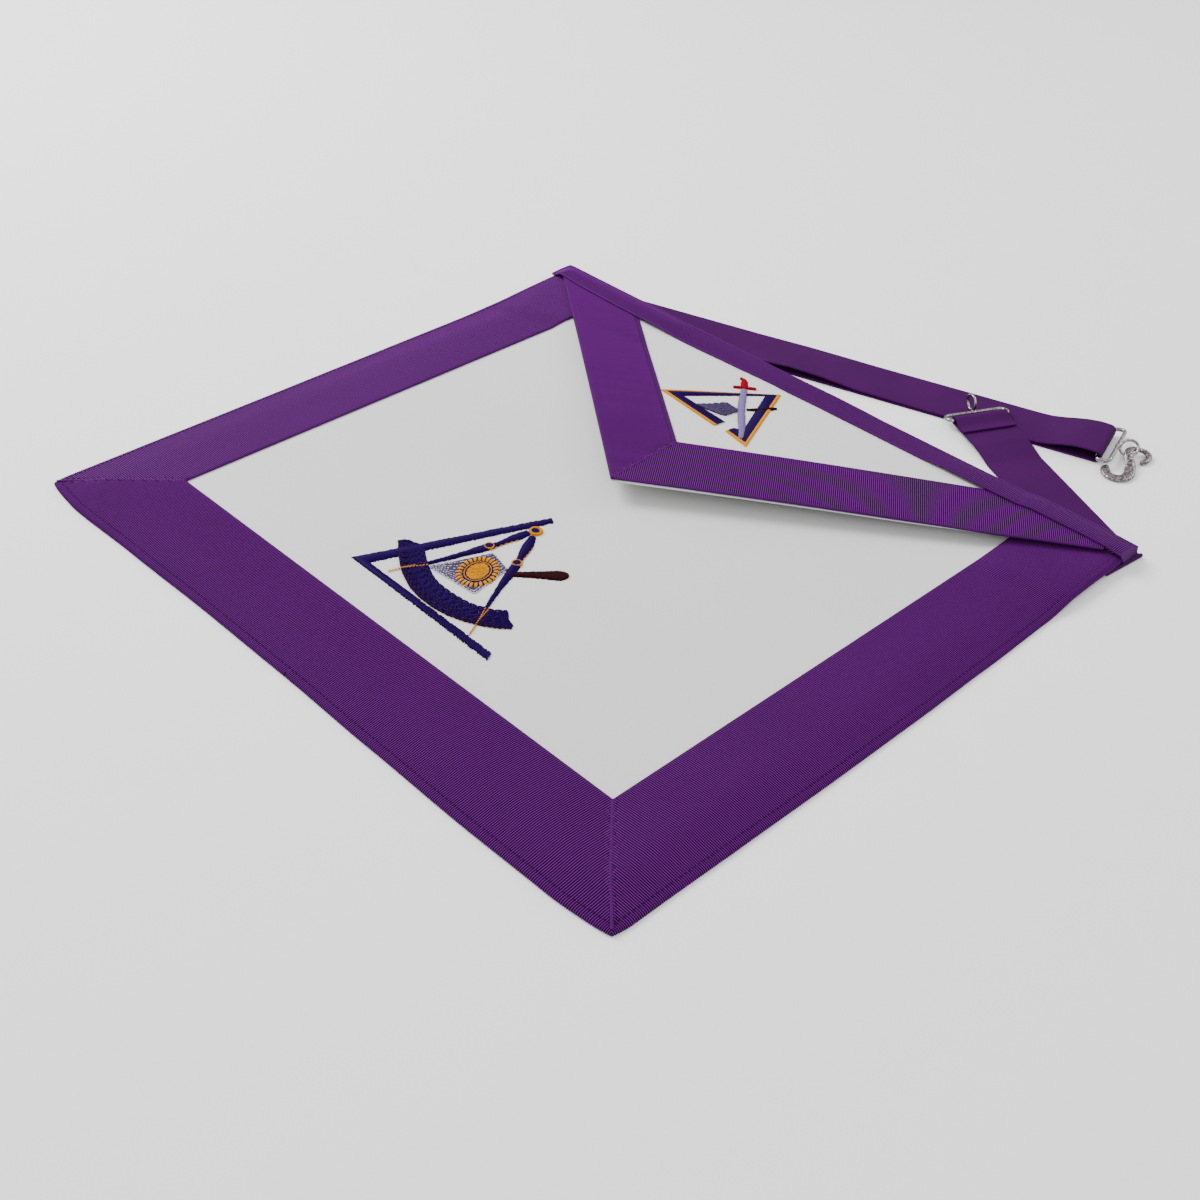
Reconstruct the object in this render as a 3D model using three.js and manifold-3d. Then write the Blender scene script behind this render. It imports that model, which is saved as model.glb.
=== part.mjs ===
// Masonic apron lying on a flat surface: white leather body and flap, ribbed ribbon borders,
// a doubled long strap with a snake hook, and a short strap with an eye loop.
// Millimetres, +Z up, +Y toward the top edge, +X to the wearer's left as seen from the front.

import * as THREE from 'three';
import { mergeVertices } from 'three/addons/utils/BufferGeometryUtils.js';
import Module from 'manifold-3d';

const wasm = await Module();
wasm.setup();

// Body and flap
const apronWidth = 400;
const apronHeight = 358;
const bodyLeather = 1.2;
const flapLeather = 1.0;
const flapDepth = 160;
const flapSideInset = 9;
const flapTipShift = -3;
const flapTipRise = 8.2;
const flapBulge = 1.2;

// Ribbons
const ribbonThickness = 1.0;
const bodyRibbonWidth = 48;
const turnUnderWidth = 13;
const flapRibbonWidth = 39;
const flapEdgeShowing = 1.5;
const bindingWidth = 16;
const bindingBackWidth = 12;
const bindingOverhang = 0.8;
const flapRibbonTuck = 6;
const layerGap = 0.3;

// How the sheets lie
const bodyRise = 1.4;
const flatEdge = 6;
const rollWidth = 22;
const bindingClimb = 1.4;
const liftSideMargin = 20;
const liftEndMargin = 4;
const liftFall = 22;
const edgeWaver = 3.5;
const cornerPull = 2.2;
const cornerReach = 12;

// Webbing straps
const strapWidth = 32;
const webbing = 1.0;
const longStrapLength = 332.5;
const longStrapHeading = 17.5;
const strapEndInset = 15;
const longStrapDrop = 22.5;
const shortStrapDrop = 15;
const sewnLength = 45;
const sewnHeading = 15;
const foldOverhang = 0.5;
const turnedEndLength = 12;
const hookFoldRadius = 3.0;

// Where the eye loop's bar lies on the long strap, counted back from the strap's hook end
const eyeFromHookEnd = 65;
const eyeAcross = -11.5;

// Wire loops, rings and the snake hook
const wireDiameter = 2.2;
const loopSideClearance = 1.0;
const loopInnerDepth = 4.8;
const loopCornerRadius = 2.6;
const eyeRingDiameter = 8.4;
const hookRingDiameter = 9.4;
const ringWire = 1.6;
const eyeRingLean = 60;
const hookRingTilt = 35;
const hookBarRise = 0.8;
const hookLength = 36;
const hookThickness = 2.4;
const hookWidth = 4.7;

// Mesh settings
const columnSteps = 15;
const rowSteps = 8;
const turnSteps = 10;
const cornerFoldSteps = 6;
const wireSides = 8;
const wireCornerSteps = 4;
const ringSteps = 20;
const hookSteps = 30;
const hookSides = 8;
const tolerance = 0.01;
const mergeDistance = 1e-4;

const degrees = Math.PI / 180;
const halfWidth = apronWidth / 2;
const wireRadius = wireDiameter / 2;
const loopInnerLength = strapWidth + 2 * loopSideClearance;

// Heights of the layers above the underside of the body
const panelBottom = ribbonThickness + layerGap;
const panelTop = panelBottom + bodyLeather;
const bodyRibbonTop = panelTop + layerGap + ribbonThickness;
const doubledStrap = 2 * webbing + 2 * layerGap;
const edgeWrap = ribbonThickness + layerGap;

// Materials
const whiteLeather = new THREE.MeshStandardMaterial({ color: 0xe4e4e2, roughness: 0.55, metalness: 0 });
const purpleRibbon = new THREE.MeshStandardMaterial({ color: 0x582673, roughness: 0.7, metalness: 0 });
const purpleWebbing = new THREE.MeshStandardMaterial({ color: 0x4f2168, roughness: 0.85, metalness: 0 });
const nickel = new THREE.MeshStandardMaterial({ color: 0xc9c6c4, roughness: 0.25, metalness: 1 });

// Small helpers
const clamp01 = (value) => Math.min(1, Math.max(0, value));
const mix = (a, b, share) => a + (b - a) * share;
const smooth = (value) => {
  const share = clamp01(value);
  return share * share * (3 - 2 * share);
};
const heading = (angle) => new THREE.Vector3(Math.cos(angle * degrees), Math.sin(angle * degrees), 0);
const upward = new THREE.Vector3(0, 0, 1);

// A line through plan points, for the straps
class Run {
  constructor(start, angle) {
    this.start = start;
    this.angle = angle;
    this.forward = heading(angle);
    this.leftward = heading(angle + 90);
  }

  at(along, across, height) {
    return this.start.clone()
      .addScaledVector(this.forward, along)
      .addScaledVector(this.leftward, across)
      .setZ(height);
  }

  local(x, y) {
    const offset = new THREE.Vector3(x, y, 0).sub(this.start);
    return { along: offset.dot(this.forward), across: offset.dot(this.leftward) };
  }
}

const longRun = new Run(
  new THREE.Vector3(-halfWidth + strapEndInset, apronHeight - longStrapDrop, 0),
  longStrapHeading,
);
const foldPoint = new THREE.Vector3(halfWidth + foldOverhang, apronHeight - shortStrapDrop, 0);
const eyeBar = longRun.at(longStrapLength - eyeFromHookEnd, eyeAcross, 0);
const shortAngle = Math.atan2(eyeBar.y - foldPoint.y, eyeBar.x - foldPoint.x) / degrees;
const shortRun = new Run(foldPoint, shortAngle);
const shortLength = eyeBar.distanceTo(foldPoint);
const sewnRun = new Run(foldPoint.clone().addScaledVector(heading(sewnHeading), -sewnLength), sewnHeading);
const cornerFoldAngle = (sewnHeading + shortAngle) / 2;

// The body's underside: rolled down at three edges, raised where the straps lie under the top edge
function edgeRoll(distance) {
  return smooth((distance - flatEdge) / (rollWidth - flatEdge));
}

function strapLift(run, length, x, y) {
  const { along, across } = run.local(x, y);
  const pastEnd = Math.max(0, -along - liftEndMargin, along - length - liftEndMargin);
  const pastSide = Math.max(0, Math.abs(across) - strapWidth / 2 - liftSideMargin);
  return doubledStrap * (1 - smooth(Math.hypot(pastEnd, pastSide) / liftFall));
}

function underside(x, y) {
  const side = Math.min(halfWidth, Math.max(-halfWidth, x));
  const relief = bodyRise * edgeRoll(halfWidth - Math.abs(side)) * edgeRoll(y);
  const longLift = strapLift(longRun, longStrapLength, side, y);
  const shortLift = strapLift(sewnRun, sewnLength, side, y);
  return Math.max(relief, longLift, shortLift);
}

// The flap's underside: it leaves the binding and rises evenly toward its tip
function flapUnderside(x, y) {
  const fromTop = apronHeight - y;
  const climbed = bindingClimb * smooth(fromTop / bindingWidth);
  const released = smooth((fromTop - bindingWidth) / (2.5 * bindingWidth));
  const carried = mix(underside(x, y), bodyRise, released);
  const slope = flapTipRise / (flapDepth - bindingWidth);
  const lifted = slope * Math.max(0, fromTop - bindingWidth);
  const bulge = flapBulge * Math.sin(Math.PI * clamp01((fromTop - bindingWidth) / (flapDepth - bindingWidth)));
  return carried + panelTop + layerGap + climbed + lifted + bulge;
}

const flapTop = (x, y) => flapUnderside(x, y) + flapLeather;

// How far each outer edge runs past its straight line, by share of the edge from its lower or left end
const edgeRows = [
  { share: 0, bottom: 0.3, right: 0.4, left: -0.4 },
  { share: 0.08, bottom: 1.0, right: 0.4, left: -0.4 },
  { share: 0.2, bottom: 0.7, right: 0.5, left: -0.35 },
  { share: 0.35, bottom: 0.45, right: 0.6, left: -0.3 },
  { share: 0.5, bottom: 0.5, right: 0.55, left: -0.2 },
  { share: 0.65, bottom: 0.8, right: 0.35, left: -0.1 },
  { share: 0.8, bottom: 1.0, right: 0.05, left: 0 },
  { share: 0.92, bottom: 0.85, right: -0.2, left: 0.1 },
  { share: 1, bottom: 0.2, right: -0.4, left: 0.1 },
];

function edgeOffset(edge, place) {
  const share = clamp01(place);
  const next = Math.max(1, edgeRows.findIndex((row) => row.share >= share));
  const [from, to] = [edgeRows[next - 1], edgeRows[next]];
  return edgeWaver * mix(from[edge], to[edge], smooth((share - from.share) / (to.share - from.share)));
}

// Moves a point in plan: the edges waver and the lower corners are pulled in
function waver(point) {
  const across = point.x / apronWidth + 0.5;
  const up = point.y / apronHeight;
  const nearSide = clamp01(1 - (halfWidth - Math.abs(point.x)) / bodyRibbonWidth);
  const nearBottom = clamp01(1 - point.y / bodyRibbonWidth);
  const side = Math.sign(point.x);
  const corner = new THREE.Vector2(side * halfWidth - point.x, -point.y);
  const pull = cornerPull * clamp01(1 - corner.length() / cornerReach) ** 2;
  const sideways = edgeOffset(side < 0 ? 'left' : 'right', up) * nearSide - pull;
  const downward = edgeOffset('bottom', across) * nearBottom - pull;
  point.x += side * sideways;
  point.y -= downward;
}

function wavered(geometry) {
  const position = geometry.getAttribute('position');
  const point = new THREE.Vector3();
  for (let index = 0; index < position.count; index += 1) {
    point.fromBufferAttribute(position, index);
    waver(point);
    position.setXYZ(index, point.x, point.y, point.z);
  }
  return geometry;
}

// Grid lines that every sheet shares, so that layers stay parallel
function gridLines(nearStart, nearEnd, total, steps) {
  const first = Math.max(...nearStart);
  const last = total - Math.max(...nearEnd);
  const between = [];
  for (let step = 1; step < steps; step += 1) {
    between.push(mix(first, last, step / steps));
  }
  const values = [...nearStart, ...between, ...nearEnd.map((value) => total - value)];
  values.sort((a, b) => a - b);
  return values.filter((value, index) => index === 0 || value - values[index - 1] > 5 * tolerance);
}

const rollThird = (rollWidth - flatEdge) / 3;
const sideLines = [
  0, edgeWrap, flatEdge, flatEdge + rollThird, turnUnderWidth, flatEdge + 2 * rollThird,
  rollWidth, 0.5 * (rollWidth + bodyRibbonWidth), bodyRibbonWidth,
];
const topLines = [
  0, edgeWrap, bindingWidth / 2, bindingBackWidth, bindingWidth, 1.5 * bindingWidth,
  2.2 * bindingWidth, 3 * bindingWidth, 4 * bindingWidth,
];
const columns = gridLines(sideLines, sideLines, apronWidth, columnSteps).map((value) => value - halfWidth);
const rows = gridLines(sideLines, topLines, apronHeight, rowSteps);

// Closed meshes from numbered points and faces
function meshFrom(points, faces) {
  const geometry = new THREE.BufferGeometry();
  const flat = points.flatMap((point) => [point.x, point.y, point.z]);
  geometry.setAttribute('position', new THREE.Float32BufferAttribute(flat, 3));
  geometry.setIndex(faces.flat());
  return geometry;
}

// A solid through closed sections with the same number of points, capped at both ends
function loft(sections, closedRun = false, cap = capFaces) {
  const size = sections[0].length;
  const points = sections.flat();
  const faces = [];
  const count = closedRun ? sections.length : sections.length - 1;
  for (let section = 0; section < count; section += 1) {
    const here = section * size;
    const next = ((section + 1) % sections.length) * size;
    for (let side = 0; side < size; side += 1) {
      const after = (side + 1) % size;
      faces.push(...quadFaces(points, here + side, here + after, next + after, next + side));
    }
  }
  if (!closedRun) {
    faces.push(...cap(sections[0], 0, true));
    faces.push(...cap(sections[sections.length - 1], (sections.length - 1) * size, false));
  }
  return outward(meshFrom(points, faces));
}

// Two triangles for a four-sided face, split the same way in plan wherever sheets share grid lines
function quadFaces(points, a, b, c, d) {
  const spread = (from, to) => Math.abs(points[from].x + points[from].y - points[to].x - points[to].y);
  return spread(a, c) >= spread(b, d) ? [[a, b, c], [a, c, d]] : [[a, b, d], [b, c, d]];
}

// Triangles that close a section, found in the section's own flattest plane
function capFaces(section, offset, reversed) {
  const normal = new THREE.Vector3();
  section.forEach((point, index) => {
    const next = section[(index + 1) % section.length];
    normal.add(new THREE.Vector3().crossVectors(point, next));
  });
  normal.normalize();
  const first = Math.abs(normal.z) < 0.9 ? upward.clone().cross(normal).normalize() : new THREE.Vector3(1, 0, 0);
  const second = new THREE.Vector3().crossVectors(normal, first);
  const flat = section.map((point) => new THREE.Vector2(point.dot(first), point.dot(second)));
  return THREE.ShapeUtils.triangulateShape(flat, []).map(([a, b, c]) => (
    reversed ? [offset + a, offset + c, offset + b] : [offset + a, offset + b, offset + c]
  ));
}

// Triangles that close a sheet's end, joining each lower point to the upper point over it
function sheetCapFaces(section, offset, reversed) {
  const last = section.length - 1;
  const faces = [];
  for (let place = 0; place < section.length / 2 - 1; place += 1) {
    const [a, b, c, d] = [place, place + 1, last - place - 1, last - place].map((index) => offset + index);
    faces.push(...(reversed ? [[a, c, b], [a, d, c]] : [[a, b, c], [a, c, d]]));
  }
  return faces;
}

// Turns a mesh's faces out if its signed volume is negative
function outward(geometry) {
  const position = geometry.getAttribute('position');
  const index = geometry.getIndex();
  const corner = (place) => new THREE.Vector3().fromBufferAttribute(position, index.getX(place));
  let volume = 0;
  for (let place = 0; place < index.count; place += 3) {
    volume += corner(place).dot(corner(place + 1).cross(corner(place + 2)));
  }
  if (volume < 0) {
    for (let place = 0; place < index.count; place += 3) {
      const kept = index.getX(place);
      index.setX(place, index.getX(place + 1));
      index.setX(place + 1, kept);
    }
  }
  return geometry;
}

// A sheet over grid lines, between two height functions
function sheet(xs, ys, bottom, top) {
  const sections = ys.map((y) => [
    ...xs.map((x) => new THREE.Vector3(x, y, bottom(x, y))),
    ...[...xs].reverse().map((x) => new THREE.Vector3(x, y, top(x, y))),
  ]);
  return loft(sections, false, sheetCapFaces);
}

// Booleans
function toManifold(geometry) {
  const bare = geometry.clone();
  bare.deleteAttribute('normal');
  bare.deleteAttribute('uv');
  const merged = mergeVertices(bare, mergeDistance);
  return new wasm.Manifold(new wasm.Mesh({
    numProp: 3,
    vertProperties: new Float32Array(merged.getAttribute('position').array),
    triVerts: new Uint32Array(merged.getIndex().array),
  }));
}

function fromManifold(solid) {
  const mesh = solid.getMesh();
  const geometry = new THREE.BufferGeometry();
  geometry.setAttribute('position', new THREE.BufferAttribute(new Float32Array(mesh.vertProperties), 3));
  geometry.setIndex(new THREE.BufferAttribute(new Uint32Array(mesh.triVerts), 1));
  return geometry;
}

// Keeps what lies over a plan outline
function trim(geometry, outline) {
  const depth = 4 * (apronHeight + apronWidth);
  const cutter = new THREE.ExtrudeGeometry(
    new THREE.Shape(outline.map(([x, y]) => new THREE.Vector2(x, y))),
    { depth, bevelEnabled: false },
  );
  cutter.translate(0, 0, -depth / 2);
  return fromManifold(toManifold(geometry).intersect(toManifold(cutter)));
}

// White leather body
function apronPanel() {
  const xs = columns.filter((x) => Math.abs(x) < halfWidth - edgeWrap / 2);
  const ys = rows.filter((y) => y > edgeWrap / 2 && y < apronHeight - edgeWrap / 2);
  return wavered(sheet(
    xs,
    ys,
    (x, y) => underside(x, y) + panelBottom,
    (x, y) => underside(x, y) + panelTop,
  ));
}

// The folded ribbon's section at an outer edge: distance from the edge, height in the stack
function wrapSection(lines, frontWidth, backWidth, frontHeight) {
  const edgeRound = 0.8 * ribbonThickness;
  const inner = lines.filter((line) => line > edgeWrap / 2 && line < frontWidth - tolerance);
  const innerBack = inner.filter((line) => line < backWidth - tolerance);
  const front = (line) => frontHeight(line);
  return [
    [frontWidth, front(frontWidth) + ribbonThickness],
    ...[...inner].reverse().map((line) => [line, front(line) + ribbonThickness]),
    [edgeRound, front(0) + ribbonThickness],
    [0, front(0) + ribbonThickness - edgeRound],
    [0, edgeRound],
    [edgeRound, 0],
    ...innerBack.map((line) => [line, 0]),
    [backWidth, 0],
    [backWidth, ribbonThickness],
    ...[...innerBack].reverse().map((line) => [line, ribbonThickness]),
    [ribbonThickness, ribbonThickness],
    [ribbonThickness, front(0)],
    ...inner.map((line) => [line, front(line)]),
    [frontWidth, front(frontWidth)],
  ];
}

// Body ribbons: left, bottom and right, mitred at the lower corners
const trimMargin = 2 * edgeWaver;
const mitreSeam = layerGap * Math.SQRT1_2;
const bodyRibbonHeight = () => panelTop + layerGap;
const bodyRibbonSection = wrapSection(sideLines, bodyRibbonWidth, turnUnderWidth, bodyRibbonHeight);

function sideRibbon(side) {
  const sections = rows.map((y) => bodyRibbonSection.map(([fromEdge, height]) => {
    const x = side * (halfWidth - fromEdge);
    return new THREE.Vector3(x, y, underside(x, y) + height);
  }));
  const outerX = side * (halfWidth + trimMargin);
  const innerX = side * (halfWidth - bodyRibbonWidth - trimMargin);
  const upperEnd = apronHeight - bindingWidth - layerGap;
  return trim(wavered(loft(sections)), [
    [outerX, mitreSeam - trimMargin],
    [outerX, upperEnd],
    [innerX, upperEnd],
    [innerX, bodyRibbonWidth + trimMargin + mitreSeam],
  ]);
}

function bottomRibbon() {
  const sections = columns.map((x) => bodyRibbonSection.map(([fromEdge, height]) => (
    new THREE.Vector3(x, fromEdge, underside(x, fromEdge) + height)
  )));
  const outerX = halfWidth + trimMargin - mitreSeam;
  const innerX = halfWidth - bodyRibbonWidth - trimMargin - mitreSeam;
  return trim(wavered(loft(sections)), [
    [-outerX, -trimMargin],
    [outerX, -trimMargin],
    [innerX, bodyRibbonWidth + trimMargin],
    [-innerX, bodyRibbonWidth + trimMargin],
  ]);
}

// Flap outline: hinge corners under the binding, slanting edges to the tip
const flapHalf = halfWidth - flapSideInset;
const flapShoulder = apronHeight - bindingWidth;
const flapTip = [flapTipShift, apronHeight - flapDepth];
const flapHinge = apronHeight - edgeWrap;
const flapRows = [
  ...rows.filter((y) => y > flapShoulder - tolerance && y < flapHinge + tolerance),
  ...[0.08, 0.18, 0.3, 0.45, 0.6, 0.75, 0.9, 1].map((share) => mix(flapShoulder, flapTip[1] - 1, share)),
].sort((a, b) => a - b);

function flapSheet(bottom, thickness, outline) {
  const xs = columns.filter((x) => Math.abs(x) < halfWidth - edgeWrap / 2);
  return trim(wavered(sheet(xs, flapRows, bottom, (x, y) => bottom(x, y) + thickness)), outline);
}

function flapPanel() {
  return flapSheet(flapUnderside, flapLeather, [
    [-flapHalf, apronHeight], [-flapHalf, flapShoulder], flapTip, [flapHalf, flapShoulder], [flapHalf, apronHeight],
  ]);
}

// A slanting line of the flap, moved in from the edge and met with a level or a column
function flapLine(side, inset) {
  const shoulderX = side * flapHalf;
  const run = shoulderX - flapTip[0];
  const rise = flapShoulder - flapTip[1];
  const drop = inset * Math.hypot(run, rise) / Math.abs(run);
  return {
    atX: (x) => flapTip[1] + drop + (x - flapTip[0]) * rise / run,
    atY: (y) => flapTip[0] + (y - drop - flapTip[1]) * run / rise,
  };
}

function flapRibbon(side) {
  const outer = flapLine(side, flapEdgeShowing);
  const inner = flapLine(side, flapEdgeShowing + flapRibbonWidth);
  const upperEnd = flapShoulder + flapRibbonTuck;
  const seamX = flapTip[0] + side * layerGap / 2;
  const outerTopX = side * Math.min(flapHalf - flapEdgeShowing, Math.abs(outer.atY(upperEnd)));
  return flapSheet((x, y) => flapTop(x, y) + layerGap, ribbonThickness, [
    [seamX, outer.atX(seamX)],
    [outerTopX, outer.atX(outerTopX)],
    [outerTopX, upperEnd],
    [inner.atY(upperEnd), upperEnd],
    [seamX, inner.atX(seamX)],
  ]);
}

// Binding folded over the top edge; its front leg clears the flap, and the flap's ribbon where that lies
function bindingFront(x, fromTop) {
  const y = apronHeight - fromTop;
  const ribbonStart = Math.abs(flapLine(Math.sign(x) || 1, flapRibbonWidth + flapEdgeShowing).atY(flapShoulder));
  const ribbonStep = liftSideMargin;
  const overRibbon = smooth((Math.abs(x) - ribbonStart + 2 * ribbonStep) / ribbonStep)
    * smooth((fromTop - 0.2 * (bindingWidth - flapRibbonTuck)) / (0.5 * bindingWidth - 0.2 * flapRibbonTuck));
  return flapTop(x, y) + layerGap + overRibbon * (ribbonThickness + layerGap) - underside(x, y);
}

function topBinding() {
  const lines = topLines.filter((line) => line <= bindingWidth);
  const ends = [-halfWidth - bindingOverhang, halfWidth + bindingOverhang];
  const inside = columns.filter((x) => Math.abs(x) < halfWidth - edgeWrap / 2);
  const stations = [ends[0], ...inside, ends[1]];
  const sections = stations.map((x) => {
    const section = wrapSection(lines, bindingWidth, bindingBackWidth, (line) => bindingFront(x, line));
    return section.map(([fromTop, height]) => {
      const y = apronHeight - fromTop;
      return new THREE.Vector3(x, y, underside(x, y) + height);
    });
  });
  return wavered(loft(sections));
}

// A webbing strip through stations: a centre, the ruling across it, and the side that faces up
function strip(stations) {
  const half = webbing / 2;
  const sections = stations.map((station, index) => {
    const before = stations[Math.max(0, index - 1)].centre;
    const after = stations[Math.min(stations.length - 1, index + 1)].centre;
    const forward = after.clone().sub(before);
    const up = forward.clone().cross(station.ruling).normalize().multiplyScalar(half);
    const across = station.ruling.clone().multiplyScalar(strapWidth / 2);
    return [
      station.centre.clone().add(across).add(up),
      station.centre.clone().sub(across).add(up),
      station.centre.clone().sub(across).sub(up),
      station.centre.clone().add(across).sub(up),
    ];
  });
  return loft(sections);
}

// A half turn of webbing in the upright plane of a run, from below to above a centre
function halfTurn(run, along, across, low, radius, ruling, steps) {
  const stations = [];
  for (let step = 1; step < steps; step += 1) {
    const angle = Math.PI * (step / steps) - Math.PI / 2;
    stations.push({
      centre: run.at(along + radius * Math.cos(angle), across, low + radius + radius * Math.sin(angle)),
      ruling,
    });
  }
  return stations;
}

// Long strap: two layers, joined by a loose turn round the hook loop's bar
const webbingLow = webbing / 2;
const webbingHigh = webbingLow + webbing + layerGap;
const longTurnHigh = webbingLow + 2 * hookFoldRadius;

// Upper layer: share of the strap's length, lift at the near edge and at the far edge as shares of the turn
const upperLayerRows = [
  { share: 0.985, near: 1.04, far: 1.06 },
  { share: 0.965, near: 0.96, far: 0.92 },
  { share: 0.945, near: 0.7, far: 0.64 },
  { share: 0.925, near: 0.3, far: 0.3 },
  { share: 0.905, near: 0.04, far: 0.06 },
  { share: 0.885, near: 0, far: 0 },
  { share: 0.8, near: 0, far: 0 },
  { share: 0.7, near: 0, far: 0 },
  { share: 0.59, near: 0.1, far: 0 },
  { share: 0.53, near: 0.5, far: 0.05 },
  { share: 0.47, near: 0.62, far: 0.08 },
  { share: 0.42, near: 0.35, far: 0.04 },
  { share: 0.37, near: 0, far: 0 },
  { share: 0.2, near: 0, far: 0 },
  { share: 0, near: 0, far: 0 },
];

function longStrap() {
  const lowerShares = [0, 0.2, 0.4, 0.6, 0.8, 0.95, 1];
  const lower = lowerShares.map((share) => ({
    centre: longRun.at(share * longStrapLength, 0, webbingLow),
    ruling: longRun.leftward,
  }));
  const turn = halfTurn(longRun, longStrapLength, 0, webbingLow, hookFoldRadius, longRun.leftward, turnSteps);
  const lastTurn = { centre: longRun.at(longStrapLength, 0, longTurnHigh), ruling: longRun.leftward };
  const upper = upperLayerRows.map(({ share, near, far }) => {
    const nearHeight = mix(webbingHigh, longTurnHigh, near);
    const farHeight = mix(webbingHigh, longTurnHigh, far);
    const along = share * longStrapLength;
    const farPoint = longRun.at(along, strapWidth / 2, farHeight);
    const nearPoint = longRun.at(along, -strapWidth / 2, nearHeight);
    return {
      centre: farPoint.clone().lerp(nearPoint, 0.5),
      ruling: farPoint.clone().sub(nearPoint).normalize(),
    };
  });
  return strip([...lower, ...turn, lastTurn, ...upper]);
}

// Short strap: sewn under the corner, folded back at the side edge, then over the long strap to the eye loop
const foldRadius = (webbing + layerGap) / 2;
const eyeStrapLow = doubledStrap + webbing / 2;
const eyeTurnRadius = wireRadius + layerGap + webbing / 2;
const eyeBarHeight = eyeStrapLow + eyeTurnRadius;

// How far before the eye bar the strap's nearer edge reaches the long strap
function overlapLength() {
  const corner = shortRun.at(shortLength, -strapWidth / 2, 0);
  const atBar = longRun.local(corner.x, corner.y).across;
  const perLength = shortRun.forward.dot(longRun.leftward);
  return (atBar + strapWidth / 2 + layerGap) / perLength;
}

function shortStrap() {
  const foldRuling = heading(cornerFoldAngle).divideScalar(Math.sin((cornerFoldAngle - sewnHeading) * degrees));
  const foldRun = new Run(foldPoint, cornerFoldAngle - 90);
  const foldHigh = webbingLow + 2 * foldRadius;
  const sewn = [
    { centre: sewnRun.at(0, 0, webbingHigh), ruling: sewnRun.leftward },
    { centre: sewnRun.at(sewnLength / 2, 0, webbingHigh), ruling: sewnRun.leftward },
    { centre: sewnRun.at(0.9 * sewnLength, 0, webbingHigh), ruling: foldRuling },
    { centre: foldRun.at(0, 0, foldHigh), ruling: foldRuling },
  ];
  const foldTurn = halfTurn(foldRun, 0, 0, webbingLow, foldRadius, foldRuling, cornerFoldSteps).reverse();
  const leaving = heading(shortAngle - 90);
  const climbLength = strapWidth / 2;
  const overlap = overlapLength();
  const runOut = [
    { centre: foldRun.at(0, 0, webbingLow), ruling: foldRuling },
    { centre: shortRun.at(0.12 * shortLength, 0, webbingLow), ruling: foldRuling.clone().lerp(leaving, 0.5) },
    { centre: shortRun.at(0.3 * shortLength, 0, webbingLow), ruling: leaving },
    { centre: shortRun.at(shortLength - overlap - climbLength, 0, webbingLow), ruling: leaving },
    {
      centre: shortRun.at(shortLength - overlap - climbLength / 2, 0, mix(webbingLow, eyeStrapLow, 0.6)),
      ruling: leaving,
    },
    { centre: shortRun.at(shortLength - overlap, 0, eyeStrapLow), ruling: leaving },
    { centre: shortRun.at(shortLength, 0, eyeStrapLow), ruling: leaving },
  ];
  const eyeTurn = halfTurn(shortRun, shortLength, 0, eyeStrapLow, eyeTurnRadius, leaving, turnSteps);
  const turnedHigh = eyeStrapLow + 2 * eyeTurnRadius;
  const turnedLow = eyeStrapLow + webbing + layerGap;
  const turnedRows = [
    { share: 0, height: 1 },
    { share: 0.12, height: 1 },
    { share: 0.35, height: 0.5 },
    { share: 0.55, height: 0.08 },
    { share: 0.7, height: 0 },
    { share: 1, height: 0 },
  ];
  const turned = turnedRows.map(({ share, height }) => ({
    centre: shortRun.at(shortLength - share * turnedEndLength, 0, mix(turnedLow, turnedHigh, height)),
    ruling: leaving,
  }));
  return strip([...sewn, ...foldTurn, ...runOut, ...eyeTurn, ...turned]);
}

// A wire loop in its own frame: the strap's bar at the origin along Y, the outer bar toward +X
function wireLoop() {
  const halfLength = loopInnerLength / 2 + wireRadius;
  const depth = loopInnerDepth + wireDiameter;
  const corners = [
    { x: depth - loopCornerRadius, y: halfLength - loopCornerRadius, from: 0 },
    { x: loopCornerRadius, y: halfLength - loopCornerRadius, from: 90 },
    { x: loopCornerRadius, y: loopCornerRadius - halfLength, from: 180 },
    { x: depth - loopCornerRadius, y: loopCornerRadius - halfLength, from: 270 },
  ];
  const sections = [];
  corners.forEach(({ x, y, from }) => {
    for (let step = 0; step <= wireCornerSteps; step += 1) {
      const out = heading(from + 90 * (step / wireCornerSteps));
      const centre = new THREE.Vector3(x, y, 0).addScaledVector(out, loopCornerRadius);
      sections.push(Array.from({ length: wireSides }, (_, side) => {
        const angle = 2 * Math.PI * (side / wireSides);
        return centre.clone()
          .addScaledVector(out, wireRadius * Math.cos(angle))
          .addScaledVector(upward, wireRadius * Math.sin(angle));
      }));
    }
  });
  return loft(sections, true);
}

// How far a ring's centre stands from the bar that it is soldered to
const ringReach = (ringDiameter) => ringDiameter / 2 + wireRadius + 0.2 * ringWire;

// The loop with a ring soldered to the middle of its outer bar
function loopWithRing(ringDiameter, placeRing) {
  const ring = new THREE.TorusGeometry(ringDiameter / 2, ringWire / 2, wireSides, ringSteps);
  const reach = ringReach(ringDiameter);
  placeRing(ring, reach);
  ring.translate(loopInnerDepth + wireDiameter, 0, 0);
  return fromManifold(toManifold(wireLoop()).add(toManifold(ring)));
}

function eyeLoop() {
  return loopWithRing(eyeRingDiameter, (ring, reach) => {
    ring.rotateX(90 * degrees);
    ring.translate(reach, 0, 0);
    ring.rotateY(-eyeRingLean * degrees);
  });
}

function hookLoop() {
  return loopWithRing(hookRingDiameter, (ring, reach) => {
    ring.rotateX(hookRingTilt * degrees);
    ring.translate(reach, 0, 0);
  });
}

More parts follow.
